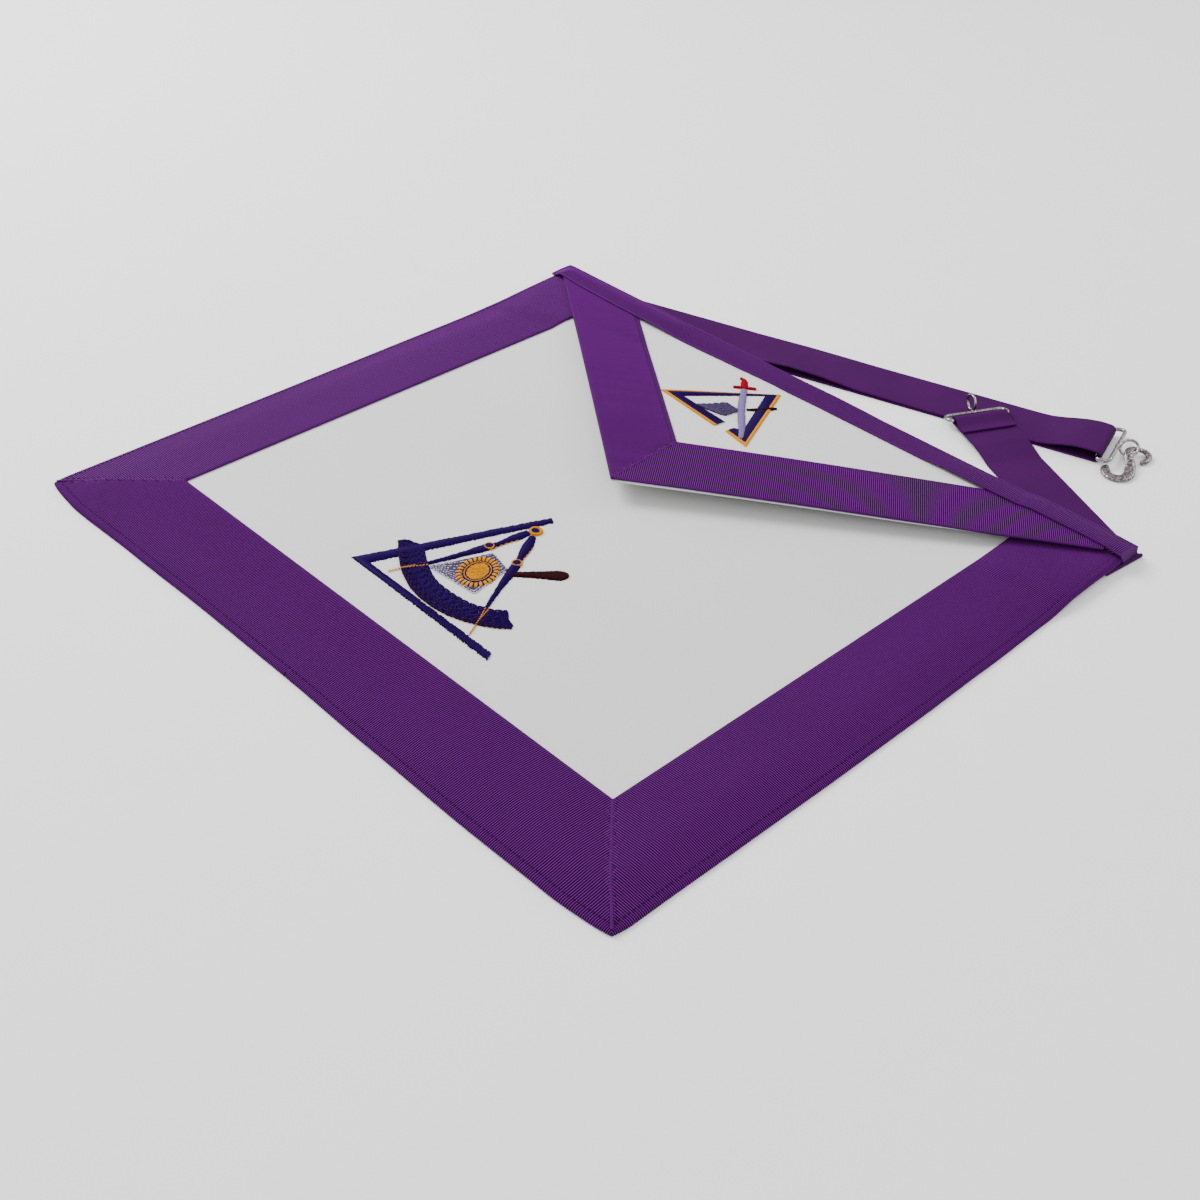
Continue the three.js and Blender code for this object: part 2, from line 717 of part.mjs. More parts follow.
// Places a loop: its strap bar at a point, tilted about that bar to bring the outer bar to a height
function placeLoop(mesh, run, along, barHeight, outerHeight) {
  const depth = loopInnerDepth + wireDiameter;
  mesh.rotation.set(0, -Math.asin((outerHeight - barHeight) / depth), run.angle * degrees, 'ZYX');
  mesh.position.copy(run.at(along, 0, barHeight));
}

// Snake hook: an S that passes down through the ring, as shares of its length
// x is away from the ring's bar, y along the bar, lift the height between the floor and over the ring
const hookRows = [
  { x: 0.01, y: -0.54, lift: 0.0, width: 0.5 },
  { x: 0.0, y: -0.64, lift: 0.0, width: 0.8 },
  { x: 0.04, y: -0.74, lift: 0.0, width: 0.95 },
  { x: 0.14, y: -0.81, lift: 0.0, width: 1.0 },
  { x: 0.26, y: -0.79, lift: 0.0, width: 1.0 },
  { x: 0.35, y: -0.69, lift: 0.05, width: 1.0 },
  { x: 0.37, y: -0.56, lift: 0.2, width: 0.95 },
  { x: 0.34, y: -0.43, lift: 0.5, width: 0.85 },
  { x: 0.27, y: -0.29, lift: 1.0, width: 0.8 },
  { x: 0.2, y: -0.13, lift: 1.16, width: 0.72 },
  { x: 0.2, y: -0.01, lift: 1.02, width: 0.62 },
  { x: 0.25, y: 0.09, lift: 0.66, width: 0.6 },
  { x: 0.36, y: 0.13, lift: 0.36, width: 0.62 },
  { x: 0.47, y: 0.08, lift: 0.16, width: 0.68 },
  { x: 0.5, y: -0.03, lift: 0.05, width: 0.66 },
  { x: 0.47, y: -0.14, lift: 0.0, width: 0.55 },
  { x: 0.42, y: -0.2, lift: 0.0, width: 0.35 },
];

const hookBarHeight = webbingLow + hookFoldRadius;
const hookOuterHeight = hookBarHeight + hookBarRise;
const ringMiddle = hookOuterHeight + hookBarRise * ringReach(hookRingDiameter) / (loopInnerDepth + wireDiameter);
const ringLowSide = ringMiddle - (hookRingDiameter / 2) * Math.sin(hookRingTilt * degrees);
const hookLow = hookThickness / 2;
const hookOverRing = ringLowSide + ringWire / 2 + layerGap + hookThickness / 2;

function snakeHook() {
  const path = new THREE.CatmullRomCurve3(hookRows.map(({ x, y, lift }) => (
    new THREE.Vector3(x * hookLength, y * hookLength, mix(hookLow, hookOverRing, lift))
  )), false, 'centripetal');
  const sections = [];
  for (let step = 0; step <= hookSteps; step += 1) {
    const share = step / hookSteps;
    const place = share * (hookRows.length - 1);
    const row = Math.min(hookRows.length - 2, Math.floor(place));
    const width = hookWidth * mix(hookRows[row].width, hookRows[row + 1].width, place - row);
    const thickness = Math.min(hookThickness, width);
    const centre = path.getPoint(share);
    centre.z = Math.max(hookLow, centre.z);
    const across = upward.clone().cross(path.getTangent(share)).normalize();
    sections.push(Array.from({ length: hookSides }, (_, side) => {
      const angle = 2 * Math.PI * ((side + 0.5) / hookSides);
      const reach = 1 / Math.cos(Math.PI / hookSides);
      return centre.clone()
        .addScaledVector(across, reach * (width / 2) * Math.cos(angle))
        .addScaledVector(upward, reach * (thickness / 2) * Math.sin(angle));
    }));
  }
  return loft(sections);
}

// Assembly
const apron = new THREE.Group();

function add(name, geometry, material) {
  const mesh = new THREE.Mesh(geometry, material);
  mesh.name = name;
  apron.add(mesh);
  return mesh;
}

add('apron_panel', apronPanel(), whiteLeather);
add('ribbon_left', sideRibbon(-1), purpleRibbon);
add('ribbon_bottom', bottomRibbon(), purpleRibbon);
add('ribbon_right', sideRibbon(1), purpleRibbon);
add('flap_panel', flapPanel(), whiteLeather);
add('flap_ribbon_left', flapRibbon(-1), purpleRibbon);
add('flap_ribbon_right', flapRibbon(1), purpleRibbon);
add('top_binding', topBinding(), purpleRibbon);
add('long_strap', longStrap(), purpleWebbing);
add('short_strap', shortStrap(), purpleWebbing);

const eyeLoopMesh = add('eye_loop', eyeLoop(), nickel);
placeLoop(eyeLoopMesh, shortRun, shortLength, eyeBarHeight, doubledStrap + wireRadius);

const hookLoopMesh = add('hook_loop', hookLoop(), nickel);
const hookBarAlong = longStrapLength + hookFoldRadius - webbing / 2 - layerGap - wireRadius;
placeLoop(hookLoopMesh, longRun, hookBarAlong, hookBarHeight, hookOuterHeight);

const hookMesh = add('snake_hook', snakeHook(), nickel);
hookMesh.rotation.z = longStrapHeading * degrees;
hookMesh.position.copy(longRun.at(hookBarAlong + loopInnerDepth + wireDiameter, 0, 0));

// The origin is the middle of the whole part's box, on the floor
const bounds = new THREE.Box3().setFromObject(apron, true);
const middle = bounds.getCenter(new THREE.Vector3());
apron.position.set(-middle.x, -middle.y, -bounds.min.z);

export default apron;
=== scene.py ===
"""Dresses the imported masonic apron: leather, ribbed ribbons, webbing, nickel fittings and embroidery."""

import math

import bmesh
import bpy
import numpy as np
from mathutils import Matrix, Vector


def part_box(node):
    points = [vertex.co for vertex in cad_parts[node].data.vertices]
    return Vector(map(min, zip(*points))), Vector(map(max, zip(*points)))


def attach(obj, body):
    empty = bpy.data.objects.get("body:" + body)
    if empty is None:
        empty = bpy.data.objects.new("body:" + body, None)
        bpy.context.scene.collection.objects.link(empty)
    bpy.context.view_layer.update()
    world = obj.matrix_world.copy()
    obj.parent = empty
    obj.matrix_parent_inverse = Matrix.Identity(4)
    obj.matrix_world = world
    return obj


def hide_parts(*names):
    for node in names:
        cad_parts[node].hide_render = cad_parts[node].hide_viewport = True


bl_info = {
    "name": "Masonic apron",
    "version": (1, 0, 0),
    "blender": (4, 5, 0),
    "location": "View3D > Sidebar > Apron",
    "description": "Makes the ribbons, leather, webbing, fittings and embroidery of a masonic apron",
    "category": "Object",
}

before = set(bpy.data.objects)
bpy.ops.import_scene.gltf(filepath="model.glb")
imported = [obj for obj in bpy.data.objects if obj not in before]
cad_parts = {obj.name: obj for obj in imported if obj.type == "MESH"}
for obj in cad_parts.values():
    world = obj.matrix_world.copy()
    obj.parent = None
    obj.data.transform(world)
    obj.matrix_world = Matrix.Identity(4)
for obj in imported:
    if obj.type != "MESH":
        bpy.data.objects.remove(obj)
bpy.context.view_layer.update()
BODY = "root"

# Sizes of the apron in millimetres, as its solids have them, but for the flap ribbons and the corners' pull
APRON_WIDTH = 400.0
APRON_HEIGHT = 358.0
HALF_WIDTH = APRON_WIDTH / 2
BODY_LEATHER = 1.2
FLAP_LEATHER = 1.0
FLAP_DEPTH = 160.0
FLAP_SIDE_INSET = 9.0
FLAP_TIP_SHIFT = -3.0
FLAP_TIP_RISE = 8.2
FLAP_BULGE = 1.2
RIBBON = 1.0
BODY_RIBBON_WIDTH = 48.0
TURN_UNDER = 13.0
FLAP_RIBBON_WIDTH = {"left": 37.0, "right": 42.5}
FLAP_EDGE_SHOWING = 1.5
BINDING_WIDTH = 16.0
BINDING_BACK = 12.0
BINDING_OVERHANG = 0.8
RIBBON_TUCK = 6.0
LAYER_GAP = 0.3
BODY_RISE = 1.4
FLAT_EDGE = 6.0
ROLL_WIDTH = 22.0
BINDING_CLIMB = 1.4
LIFT_SIDE_MARGIN = 20.0
LIFT_END_MARGIN = 4.0
LIFT_FALL = 22.0
EDGE_WAVER = 3.5
CORNER_PULL = 1.3
CORNER_REACH = 12.0

# How far the folded edges are pressed flat, as a share of the thickness, and how far in that reaches
PRESS_SHARE = 0.48
PRESS_REACH = 18.0

# Under the binding the flap follows the body and no edge is pressed flat; how far below it that ends
FLAP_RELEASE = 2.5 * BINDING_WIDTH
PRESS_FREE = 4 * BINDING_WIDTH

# Inset of each flap ribbon's outer edge from the flap's outline, and of the leather at the shoulders
FLAP_SHOWING = {"left": -0.3, "right": 0.1}
FLAP_LEATHER_DRAWN_IN = 2.4

# Toward its right shoulder the leather hides under the ribbon: up from which share of the depth, over which
# share that comes about, and how far it hides
HIDDEN_FROM = 0.42
HIDDEN_OVER = 0.25
HIDDEN_BY = 2.6

# Straps and fittings in millimetres
STRAP_WIDTH = 32.0
WEBBING = 1.0
LONG_LENGTH = 332.5
LONG_HEADING = 17.5
STRAP_INSET = 15.0
LONG_DROP = 22.5
SHORT_DROP = 15.0
SEWN_LENGTH = 45.0
SEWN_HEADING = 15.0
FOLD_OVERHANG = 0.5
TURNED_END = 12.0
HOOK_FOLD_RADIUS = 3.0
EYE_FROM_HOOK_END = 65.0
EYE_ACROSS = -11.5
WIRE = 2.2
LOOP_SIDE_CLEARANCE = 1.0
LOOP_DEPTH = 4.8 + WIRE
LOOP_CORNER = 2.6
EYE_RING = 8.4
HOOK_RING = 9.4
RING_WIRE = 1.6
EYE_RING_LEAN = 60.0
HOOK_RING_TILT = 35.0
HOOK_BAR_RISE = 0.8
HOOK_LENGTH = 36.0
HOOK_THICKNESS = 2.4
HOOK_WIDTH = 5.6

# Where the flap leaves the binding
FLAP_HALF = HALF_WIDTH - FLAP_SIDE_INSET
FLAP_SHOULDER = APRON_HEIGHT - BINDING_WIDTH
FLAP_TIP = np.array((FLAP_TIP_SHIFT, APRON_HEIGHT - FLAP_DEPTH))

# Heights of the layers above the underside of the body
PANEL_BOTTOM = RIBBON + LAYER_GAP
PANEL_TOP = PANEL_BOTTOM + BODY_LEATHER
DOUBLED_STRAP = 2 * WEBBING + 2 * LAYER_GAP

# The plan's own zero is the middle of the bottom edge; the frame says where that lies
MM = 0.001
SEAM_X = (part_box("flap_ribbon_left")[1].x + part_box("flap_ribbon_right")[0].x) / 2
PLAN_X = SEAM_X - FLAP_TIP_SHIFT * MM
PLAN_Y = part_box("apron_panel")[1].y - (APRON_HEIGHT - PANEL_BOTTOM) * MM

# How far each outer edge runs past its straight line, as shares of the waver, by share of the edge
EDGE_SHARES = (0, 0.08, 0.2, 0.35, 0.5, 0.65, 0.8, 0.92, 1)
EDGE_RUNS = {
    "bottom": (0.3, 1.0, 0.7, 0.45, 0.5, 0.8, 1.0, 0.85, 0.2),
    "right": (0.4, 0.4, 0.5, 0.6, 0.55, 0.35, 0.05, -0.2, -0.4),
    "left": (-0.4, -0.4, -0.35, -0.3, -0.2, -0.1, 0, 0.1, 0.1),
}


def length_property(label, description, default, **limits):
    """A length in metres, for the panel."""
    return bpy.props.FloatProperty(
        name=label, description=description, default=default, precision=5,
        subtype="DISTANCE", unit="LENGTH", **limits,
    )


def colour_property(label, description, default):
    """A colour, for the panel."""
    return bpy.props.FloatVectorProperty(
        name=label, description=description, default=default, subtype="COLOR", size=3, min=0, max=1,
    )


class ApronSizes(bpy.types.PropertyGroup):
    """Sizes of the ribs, stitches and threads"""

    rib_pitch: length_property("Rib pitch", "Distance between two ribs of the ribbon", 0.00103, min=0.0004)
    rib_height: length_property("Rib height", "How far a rib stands over the ribbon", 0.0002, min=0.0)
    rib_skew: length_property("Rib skew", "How far the ribs are pulled along at the inner edge", 0.0012)
    stitch_pitch: length_property("Stitch pitch", "Distance between two seam stitches", 0.0025, min=0.001)
    thread: length_property("Thread", "Thickness of the embroidery thread", 0.0006, min=0.0002)


class ApronColours(bpy.types.PropertyGroup):
    """Colours of the cloths, leather and threads"""

    leather: colour_property("Leather", "White lambskin", (0.64, 0.64, 0.635))
    ribbon: colour_property("Ribbon", "Purple grosgrain", (0.056, 0.0035, 0.082))
    webbing: colour_property("Webbing", "Purple strap webbing", (0.040, 0.003, 0.055))
    indigo: colour_property("Indigo thread", "Main embroidery thread", (0.011, 0.0, 0.052))
    gold: colour_property("Gold thread", "Yellow gold embroidery thread", (0.61, 0.25, 0.0))
    lavender: colour_property("Lavender thread", "Pale blade thread", (0.20, 0.15, 0.33))
    slate: colour_property("Slate thread", "Grey trowel thread", (0.065, 0.045, 0.11))
    brown: colour_property("Brown thread", "Dark handle and outline thread", (0.018, 0.002, 0.003))
    red: colour_property("Red thread", "Sword grip thread", (0.29, 0.002, 0.010))
    pale: colour_property("Pale thread", "Off-white outline thread", (0.62, 0.60, 0.66))


# Small helpers
def smooth(value):
    share = np.clip(value, 0, 1)
    return share * share * (3 - 2 * share)


def mix(a, b, share):
    return a + (b - a) * share


def direction(angle):
    return np.array((math.cos(math.radians(angle)), math.sin(math.radians(angle)), 0.0))


def part_points(points):
    """Plan millimetres to metres in the frame."""
    moved = np.asarray(points, float) * MM
    return moved + np.array((PLAN_X, PLAN_Y, 0.0))


def with_heights(x, y, z):
    return np.stack(np.broadcast_arrays(x, y, z), axis=-1).astype(float)


class Run:
    """A straight line in plan that a strap follows."""

    def __init__(self, start, angle):
        self.start = np.array((start[0], start[1], 0.0))
        self.angle = angle
        self.forward = direction(angle)
        self.leftward = direction(angle + 90)

    def at(self, along, across, height):
        point = self.start + self.forward * along + self.leftward * across
        point[2] = height
        return point

    def local(self, x, y):
        dx = x - self.start[0]
        dy = y - self.start[1]
        along = dx * self.forward[0] + dy * self.forward[1]
        across = dx * self.leftward[0] + dy * self.leftward[1]
        return along, across


LONG_RUN = Run((-HALF_WIDTH + STRAP_INSET, APRON_HEIGHT - LONG_DROP), LONG_HEADING)
FOLD_POINT = np.array((HALF_WIDTH + FOLD_OVERHANG, APRON_HEIGHT - SHORT_DROP, 0.0))
EYE_BAR = LONG_RUN.at(LONG_LENGTH - EYE_FROM_HOOK_END, EYE_ACROSS, 0)
SHORT_ANGLE = math.degrees(math.atan2(EYE_BAR[1] - FOLD_POINT[1], EYE_BAR[0] - FOLD_POINT[0]))
SHORT_RUN = Run(FOLD_POINT, SHORT_ANGLE)
SHORT_LENGTH = float(np.linalg.norm(EYE_BAR - FOLD_POINT))
SEWN_RUN = Run(FOLD_POINT - direction(SEWN_HEADING) * SEWN_LENGTH, SEWN_HEADING)
CORNER_FOLD_ANGLE = (SEWN_HEADING + SHORT_ANGLE) / 2


# How the sheets lie
def edge_roll(distance):
    return smooth((distance - FLAT_EDGE) / (ROLL_WIDTH - FLAT_EDGE))


def strap_lift(run, length, x, y):
    along, across = run.local(x, y)
    past_end = np.maximum(0, np.maximum(-along, along - length) - LIFT_END_MARGIN)
    past_side = np.maximum(0, np.abs(across) - STRAP_WIDTH / 2 - LIFT_SIDE_MARGIN)
    return DOUBLED_STRAP * (1 - smooth(np.hypot(past_end, past_side) / LIFT_FALL))


def underside(x, y):
    side = np.clip(x, -HALF_WIDTH, HALF_WIDTH)
    relief = BODY_RISE * edge_roll(HALF_WIDTH - np.abs(side)) * edge_roll(y)
    long_lift = strap_lift(LONG_RUN, LONG_LENGTH, side, y)
    short_lift = strap_lift(SEWN_RUN, SEWN_LENGTH, side, y)
    return np.maximum(relief, np.maximum(long_lift, short_lift))


def flap_underside(x, y):
    from_top = APRON_HEIGHT - y
    below = np.maximum(0, from_top - BINDING_WIDTH)
    drop = FLAP_DEPTH - BINDING_WIDTH
    climbed = BINDING_CLIMB * smooth(from_top / BINDING_WIDTH)
    released = smooth((from_top - BINDING_WIDTH) / FLAP_RELEASE)
    carried = mix(underside(x, y), BODY_RISE, released)
    lifted = FLAP_TIP_RISE / drop * below
    bulge = FLAP_BULGE * np.sin(np.pi * np.clip(below / drop, 0, 1))
    return carried + PANEL_TOP + LAYER_GAP + climbed + lifted + bulge


def flap_top(x, y):
    return flap_underside(x, y) + FLAP_LEATHER


def stacked(x, y, height):
    """Height of a layer of the body, whose folded edges are pressed flat."""
    fold = np.minimum(HALF_WIDTH - np.abs(x), y)
    near = (1 - np.clip(fold / PRESS_REACH, 0, 1)) ** 2
    free = smooth((FLAP_SHOULDER - BINDING_WIDTH - y) / PRESS_FREE)
    return underside(x, y) + height * (1 - PRESS_SHARE * near * free)


def body_top(x, y):
    return stacked(x, y, PANEL_TOP)


def edge_offset(edge, place):
    shares = np.array(EDGE_SHARES)
    runs = np.array(EDGE_RUNS[edge])
    share = np.clip(place, 0, 1)
    after = np.clip(np.searchsorted(shares, share), 1, len(shares) - 1)
    step = (share - shares[after - 1]) / (shares[after] - shares[after - 1])
    return EDGE_WAVER * mix(runs[after - 1], runs[after], smooth(step))


def waver(points):
    """The outer edges waver and the lower corners are pulled in."""
    x = points[..., 0]
    y = points[..., 1]
    side = np.sign(x)
    near_side = np.clip(1 - (HALF_WIDTH - np.abs(x)) / BODY_RIBBON_WIDTH, 0, 1)
    near_bottom = np.clip(1 - y / BODY_RIBBON_WIDTH, 0, 1)
    corner = np.hypot(side * HALF_WIDTH - x, y)
    pull = CORNER_PULL * np.clip(1 - corner / CORNER_REACH, 0, 1) ** 2
    up = y / APRON_HEIGHT
    side_run = np.where(side < 0, edge_offset("left", up), edge_offset("right", up))
    moved = points.copy()
    moved[..., 0] = x + side * (side_run * near_side - pull)
    moved[..., 1] = y - (edge_offset("bottom", x / APRON_WIDTH + 0.5) * near_bottom - pull)
    return moved


# Meshes
WELD = 2e-6
SHARP_ANGLE = math.radians(50)


def new_object(name, data):
    made = bpy.data.objects.new(name, data)
    bpy.context.scene.collection.objects.link(made)
    return made


def grid_faces(stations, rows, closed_run):
    last_station = stations if closed_run else stations - 1
    i, j = np.meshgrid(np.arange(last_station), np.arange(rows), indexing="ij")
    next_i = (i + 1) % stations
    next_j = (j + 1) % rows
    corners = (i * rows + j, i * rows + next_j, next_i * rows + next_j, next_i * rows + j)
    return np.stack(corners, axis=-1).reshape(-1, 4)


def grid_object(name, points, closed_run=False, run=None, across=None, ribbed=None):
    """A closed solid through sections: points has a station, a place round the section and x, y, z."""
    shape = points.shape[:2]
    mesh = bpy.data.meshes.new(name)
    faces = grid_faces(*shape, closed_run)
    mesh.from_pydata(part_points(points).reshape(-1, 3).tolist(), [], faces.tolist())
    if run is not None:
        lay = with_heights(run, across, np.zeros(shape)).reshape(-1, 3)[:, :2] * MM
        layer = mesh.uv_layers.new(name="lay")
        layer.data.foreach_set("uv", lay[faces.reshape(-1)].ravel())
        point_values(mesh, "run", lay[:, 0])
    if ribbed is not None:
        point_values(mesh, "ribbed", np.broadcast_to(ribbed, shape))
    close_mesh(mesh)
    return new_object(name, mesh)


def point_values(mesh, name, values):
    attribute = mesh.attributes.new(name, "FLOAT", "POINT")
    attribute.data.foreach_set("value", np.ascontiguousarray(values).ravel())


def close_mesh(mesh):
    """Welds what coincides, closes the open ends and turns the faces out."""
    bm = bmesh.new()
    bm.from_mesh(mesh)
    bmesh.ops.remove_doubles(bm, verts=bm.verts, dist=WELD)
    open_edges = [edge for edge in bm.edges if edge.is_boundary]
    if open_edges:
        caps = bmesh.ops.holes_fill(bm, edges=open_edges, sides=0)["faces"]
        bmesh.ops.triangulate(bm, faces=caps)
    bmesh.ops.recalc_face_normals(bm, faces=bm.faces)
    for face in bm.faces:
        face.smooth = True
    bm.to_mesh(mesh)
    bm.free()
    mesh.set_sharp_from_angle(angle=SHARP_ANGLE)


def dress(piece, material):
    piece.data.materials.clear()
    piece.data.materials.append(material)


def keep(piece, slot, *nodes):
    """The piece rides on the apron and stands for its solids; the slot is not used."""
    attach(piece, BODY)
    if nodes:
        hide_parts(*nodes)


# Node trees, for shaders and for geometry
class Field:
    """A socket that takes part in Python expressions."""

    def __init__(self, nodes, socket):
        self.nodes = nodes
        self.socket = socket

    def math(self, operation, *values):
        return self.nodes.field("ShaderNodeMath", dict(enumerate(values)), operation=operation)

    def __add__(self, other):
        return self.math("ADD", self, other)

    def __rsub__(self, other):
        return self.math("SUBTRACT", other, self)

    def __mul__(self, other):
        return self.math("MULTIPLY", self, other)

    def __truediv__(self, other):
        return self.math("DIVIDE", self, other)

    def cosine(self):
        return self.math("COSINE", self)

    def wave(self, pitch):
        """From 0 to 1 and back over each pitch."""
        return (self * (2 * math.pi / pitch)).cosine() * 0.5 + 0.5

    def ramp(self, low, high):
        """0 up to low and 1 from high."""
        sockets = {"Value": self, "From Min": low, "From Max": high}
        return self.nodes.field("ShaderNodeMapRange", sockets, interpolation_type="SMOOTHSTEP")

    __radd__ = __add__
    __rmul__ = __mul__


class Nodes:
    """Makes the nodes of one tree."""

    def __init__(self, tree):
        self.tree = tree

    def node(self, kind, sockets=None, **settings):
        made = self.tree.nodes.new(kind)
        for name, value in settings.items():
            setattr(made, name, value)
        for name, value in (sockets or {}).items():
            self.put(made.inputs[name], value)
        return made

    def put(self, socket, value):
        if isinstance(value, Field):
            value = value.socket
        if isinstance(value, bpy.types.NodeSocket):
            self.tree.links.new(value, socket)
        else:
            socket.default_value = value

    def field(self, kind, sockets=None, output=0, **settings):
        """One output of a new node."""
        return Field(self, self.node(kind, sockets, **settings).outputs[output])


class Finish(Nodes):
    """A procedural material."""

    def __init__(self, name, constants):
        self.material = bpy.data.materials.new(name)
        self.material.use_nodes = True
        super().__init__(self.material.node_tree)
        self.shader = self.tree.nodes["Principled BSDF"]
        for socket, value in constants.items():
            self.shader.inputs[socket].default_value = value
        self.place = self.field("ShaderNodeTexCoord", output="Object")

    def lay(self):
        """Metres along and across a strip, from its own map."""
        mapped = self.field("ShaderNodeUVMap", uv_map="lay")
        split = self.node("ShaderNodeSeparateXYZ", {"Vector": mapped})
        return Field(self, split.outputs["X"]), Field(self, split.outputs["Y"])

    def attribute(self, name):
        return self.field("ShaderNodeAttribute", output="Fac", attribute_name=name)

    def noise(self, scale, detail, vector=None, roughness=0.5):
        sockets = {"Vector": vector or self.place, "Scale": scale, "Detail": detail, "Roughness": roughness}
        return self.field("ShaderNodeTexNoise", sockets, "Fac")

    def strip_noise(self, along, across, detail):
        """Noise of so many cells a metre along and across a strip."""
        x, y = self.lay()
        place = self.field("ShaderNodeCombineXYZ", {"X": x * along, "Y": y * across})
        return self.noise(1.0, detail, place)

    def blend(self, share, first, second):
        """A colour between two colours."""
        made = self.node("ShaderNodeMix", data_type="RGBA")
        for socket, value in zip(("Factor", 6, 7), (share, opaque(first), opaque(second))):
            self.put(made.inputs[socket], value)
        return made.outputs[2]

    def clouded(self, colour, scale, detail, dark, light):
        """A colour that drifts between a darker and a lighter tone of it."""
        clouds = self.noise(scale, detail)
        return self.blend(clouds.ramp(0.3, 0.7), shade(colour, dark), shade(colour, light))

    def finish(self, colour, roughness, height, distance, strength):
        bump = self.field("ShaderNodeBump", {"Height": height, "Distance": distance, "Strength": strength})
        for socket, value in (("Base Color", opaque(colour)), ("Roughness", roughness), ("Normal", bump)):
            self.put(self.shader.inputs[socket], value)
        return self.material


def opaque(colour):
    if isinstance(colour, (bpy.types.NodeSocket, Field)):
        return colour
    return (*colour[:3], 1.0)


def shade(colour, factor):
    return tuple(min(1.0, part * factor) for part in colour)


class Recipe(Nodes):
    """A Geometry Nodes tree with named inputs."""

    KINDS = {"Geometry": "NodeSocketGeometry", "Material": "NodeSocketMaterial"}

    def __init__(self, name, inputs):
        super().__init__(bpy.data.node_groups.new(name, "GeometryNodeTree"))
        face = self.tree.interface
        face.new_socket("Geometry", in_out="INPUT", socket_type=self.KINDS["Geometry"])
        for label in inputs:
            kind = self.KINDS.get(label, "NodeSocketFloat")
            face.new_socket(label, in_out="INPUT", socket_type=kind)
        face.new_socket("Geometry", in_out="OUTPUT", socket_type=self.KINDS["Geometry"])
        self.start = self.node("NodeGroupInput")
        self.end = self.node("NodeGroupOutput")

    def input(self, label):
        return Field(self, self.start.outputs[label])

    def close(self, geometry):
        realized = self.field("GeometryNodeRealizeInstances", {"Geometry": geometry})
        sockets = {"Geometry": realized, "Material": self.input("Material")}
        self.put(self.end.inputs["Geometry"], self.field("GeometryNodeSetMaterial", sockets))
        return self.tree


def apply_recipe(piece, tree, values):
    """Runs a tree on a piece and leaves a plain mesh."""
    modifier = piece.modifiers.new("recipe", "NODES")
    modifier.node_group = tree
    for item in tree.interface.items_tree:
        if item.in_out == "INPUT" and item.name in values:
            modifier[item.identifier] = values[item.name]
    bpy.context.view_layer.update()
    depsgraph = bpy.context.evaluated_depsgraph_get()
    shown = piece.evaluated_get(depsgraph)
    mesh = bpy.data.meshes.new_from_object(shown, preserve_all_data_layers=True, depsgraph=depsgraph)
    if not mesh.polygons:
        raise RuntimeError(f"{piece.name} came out empty")
    piece.modifiers.remove(modifier)
    old = piece.data
    piece.data = mesh
    bpy.data.meshes.remove(old)
    mesh.name = piece.name
    dress(piece, values["Material"])
    mesh.polygons.foreach_set("material_index", np.zeros(len(mesh.polygons), int))


# A seam's stitch: its width in metres, and its length and height as shares of the pitch and the width
STITCH_WIDTH = 0.0004
STITCH_SHARES = (0.7, 0.8)
THREAD_SIDES = 5


def shared_tree(name, build):
    return bpy.data.node_groups.get(name) or build(name)


def rib_tree(name):
    """Raises ribs across a ribbon, where its ribbed attribute says."""
    recipe = Recipe(name, ("Rib Pitch", "Rib Height", "Material"))
    along, ribbed = (
        recipe.field("GeometryNodeInputNamedAttribute", {"Name": label}, data_type="FLOAT")
        for label in ("run", "ribbed")
    )
    turns = along / recipe.input("Rib Pitch") * (2 * math.pi)
    lift = turns.cosine() * ribbed * recipe.input("Rib Height")
    normal = recipe.field("GeometryNodeInputNormal")
    offset = recipe.field("ShaderNodeVectorMath", {"Vector": normal, "Scale": lift}, operation="SCALE")
    sockets = {"Geometry": recipe.input("Geometry"), "Offset": offset}
    return recipe.close(recipe.field("GeometryNodeSetPosition", sockets))


def stitch_tree(name):
    """Lays stitches end to end along the edges of a mesh."""
    recipe = Recipe(name, ("Stitch Pitch", "Stitch Width", "Material"))
    pitch = recipe.input("Stitch Pitch")
    width = recipe.input("Stitch Width")
    curve = recipe.field("GeometryNodeMeshToCurve", {"Mesh": recipe.input("Geometry")})
    spaced = recipe.field("GeometryNodeResampleCurve", {"Curve": curve, "Length": pitch}, mode="LENGTH")
    tangent = recipe.field("GeometryNodeInputTangent")
    turn = recipe.field("FunctionNodeAlignRotationToVector", {"Vector": tangent}, axis="X", pivot_axis="Z")
    ball = recipe.field("GeometryNodeMeshUVSphere", {"Segments": 8, "Rings": 5, "Radius": 0.5})
    length_share, height_share = STITCH_SHARES
    sizes = {"X": pitch * length_share, "Y": width, "Z": width * height_share}
    scale = recipe.field("ShaderNodeCombineXYZ", sizes)
    stitch = recipe.field("GeometryNodeTransform", {"Geometry": ball, "Scale": scale})
    rounded = recipe.field("GeometryNodeSetShadeSmooth", {"Geometry": stitch})
    sockets = {"Points": spaced, "Instance": rounded, "Rotation": turn}
    return recipe.close(recipe.field("GeometryNodeInstanceOnPoints", sockets))


def thread_tree(name):
    """Turns each line of a mesh into a thread."""
    recipe = Recipe(name, ("Thread Thickness", "Material"))
    curve = recipe.field("GeometryNodeMeshToCurve", {"Mesh": recipe.input("Geometry")})
    radius = recipe.input("Thread Thickness") * 0.5
    section = recipe.field("GeometryNodeCurvePrimitiveCircle", {"Resolution": THREAD_SIDES, "Radius": radius})
    sockets = {"Curve": curve, "Profile Curve": section, "Fill Caps": True}
    thread = recipe.field("GeometryNodeCurveToMesh", sockets)
    return recipe.close(recipe.field("GeometryNodeSetShadeSmooth", {"Geometry": thread}))


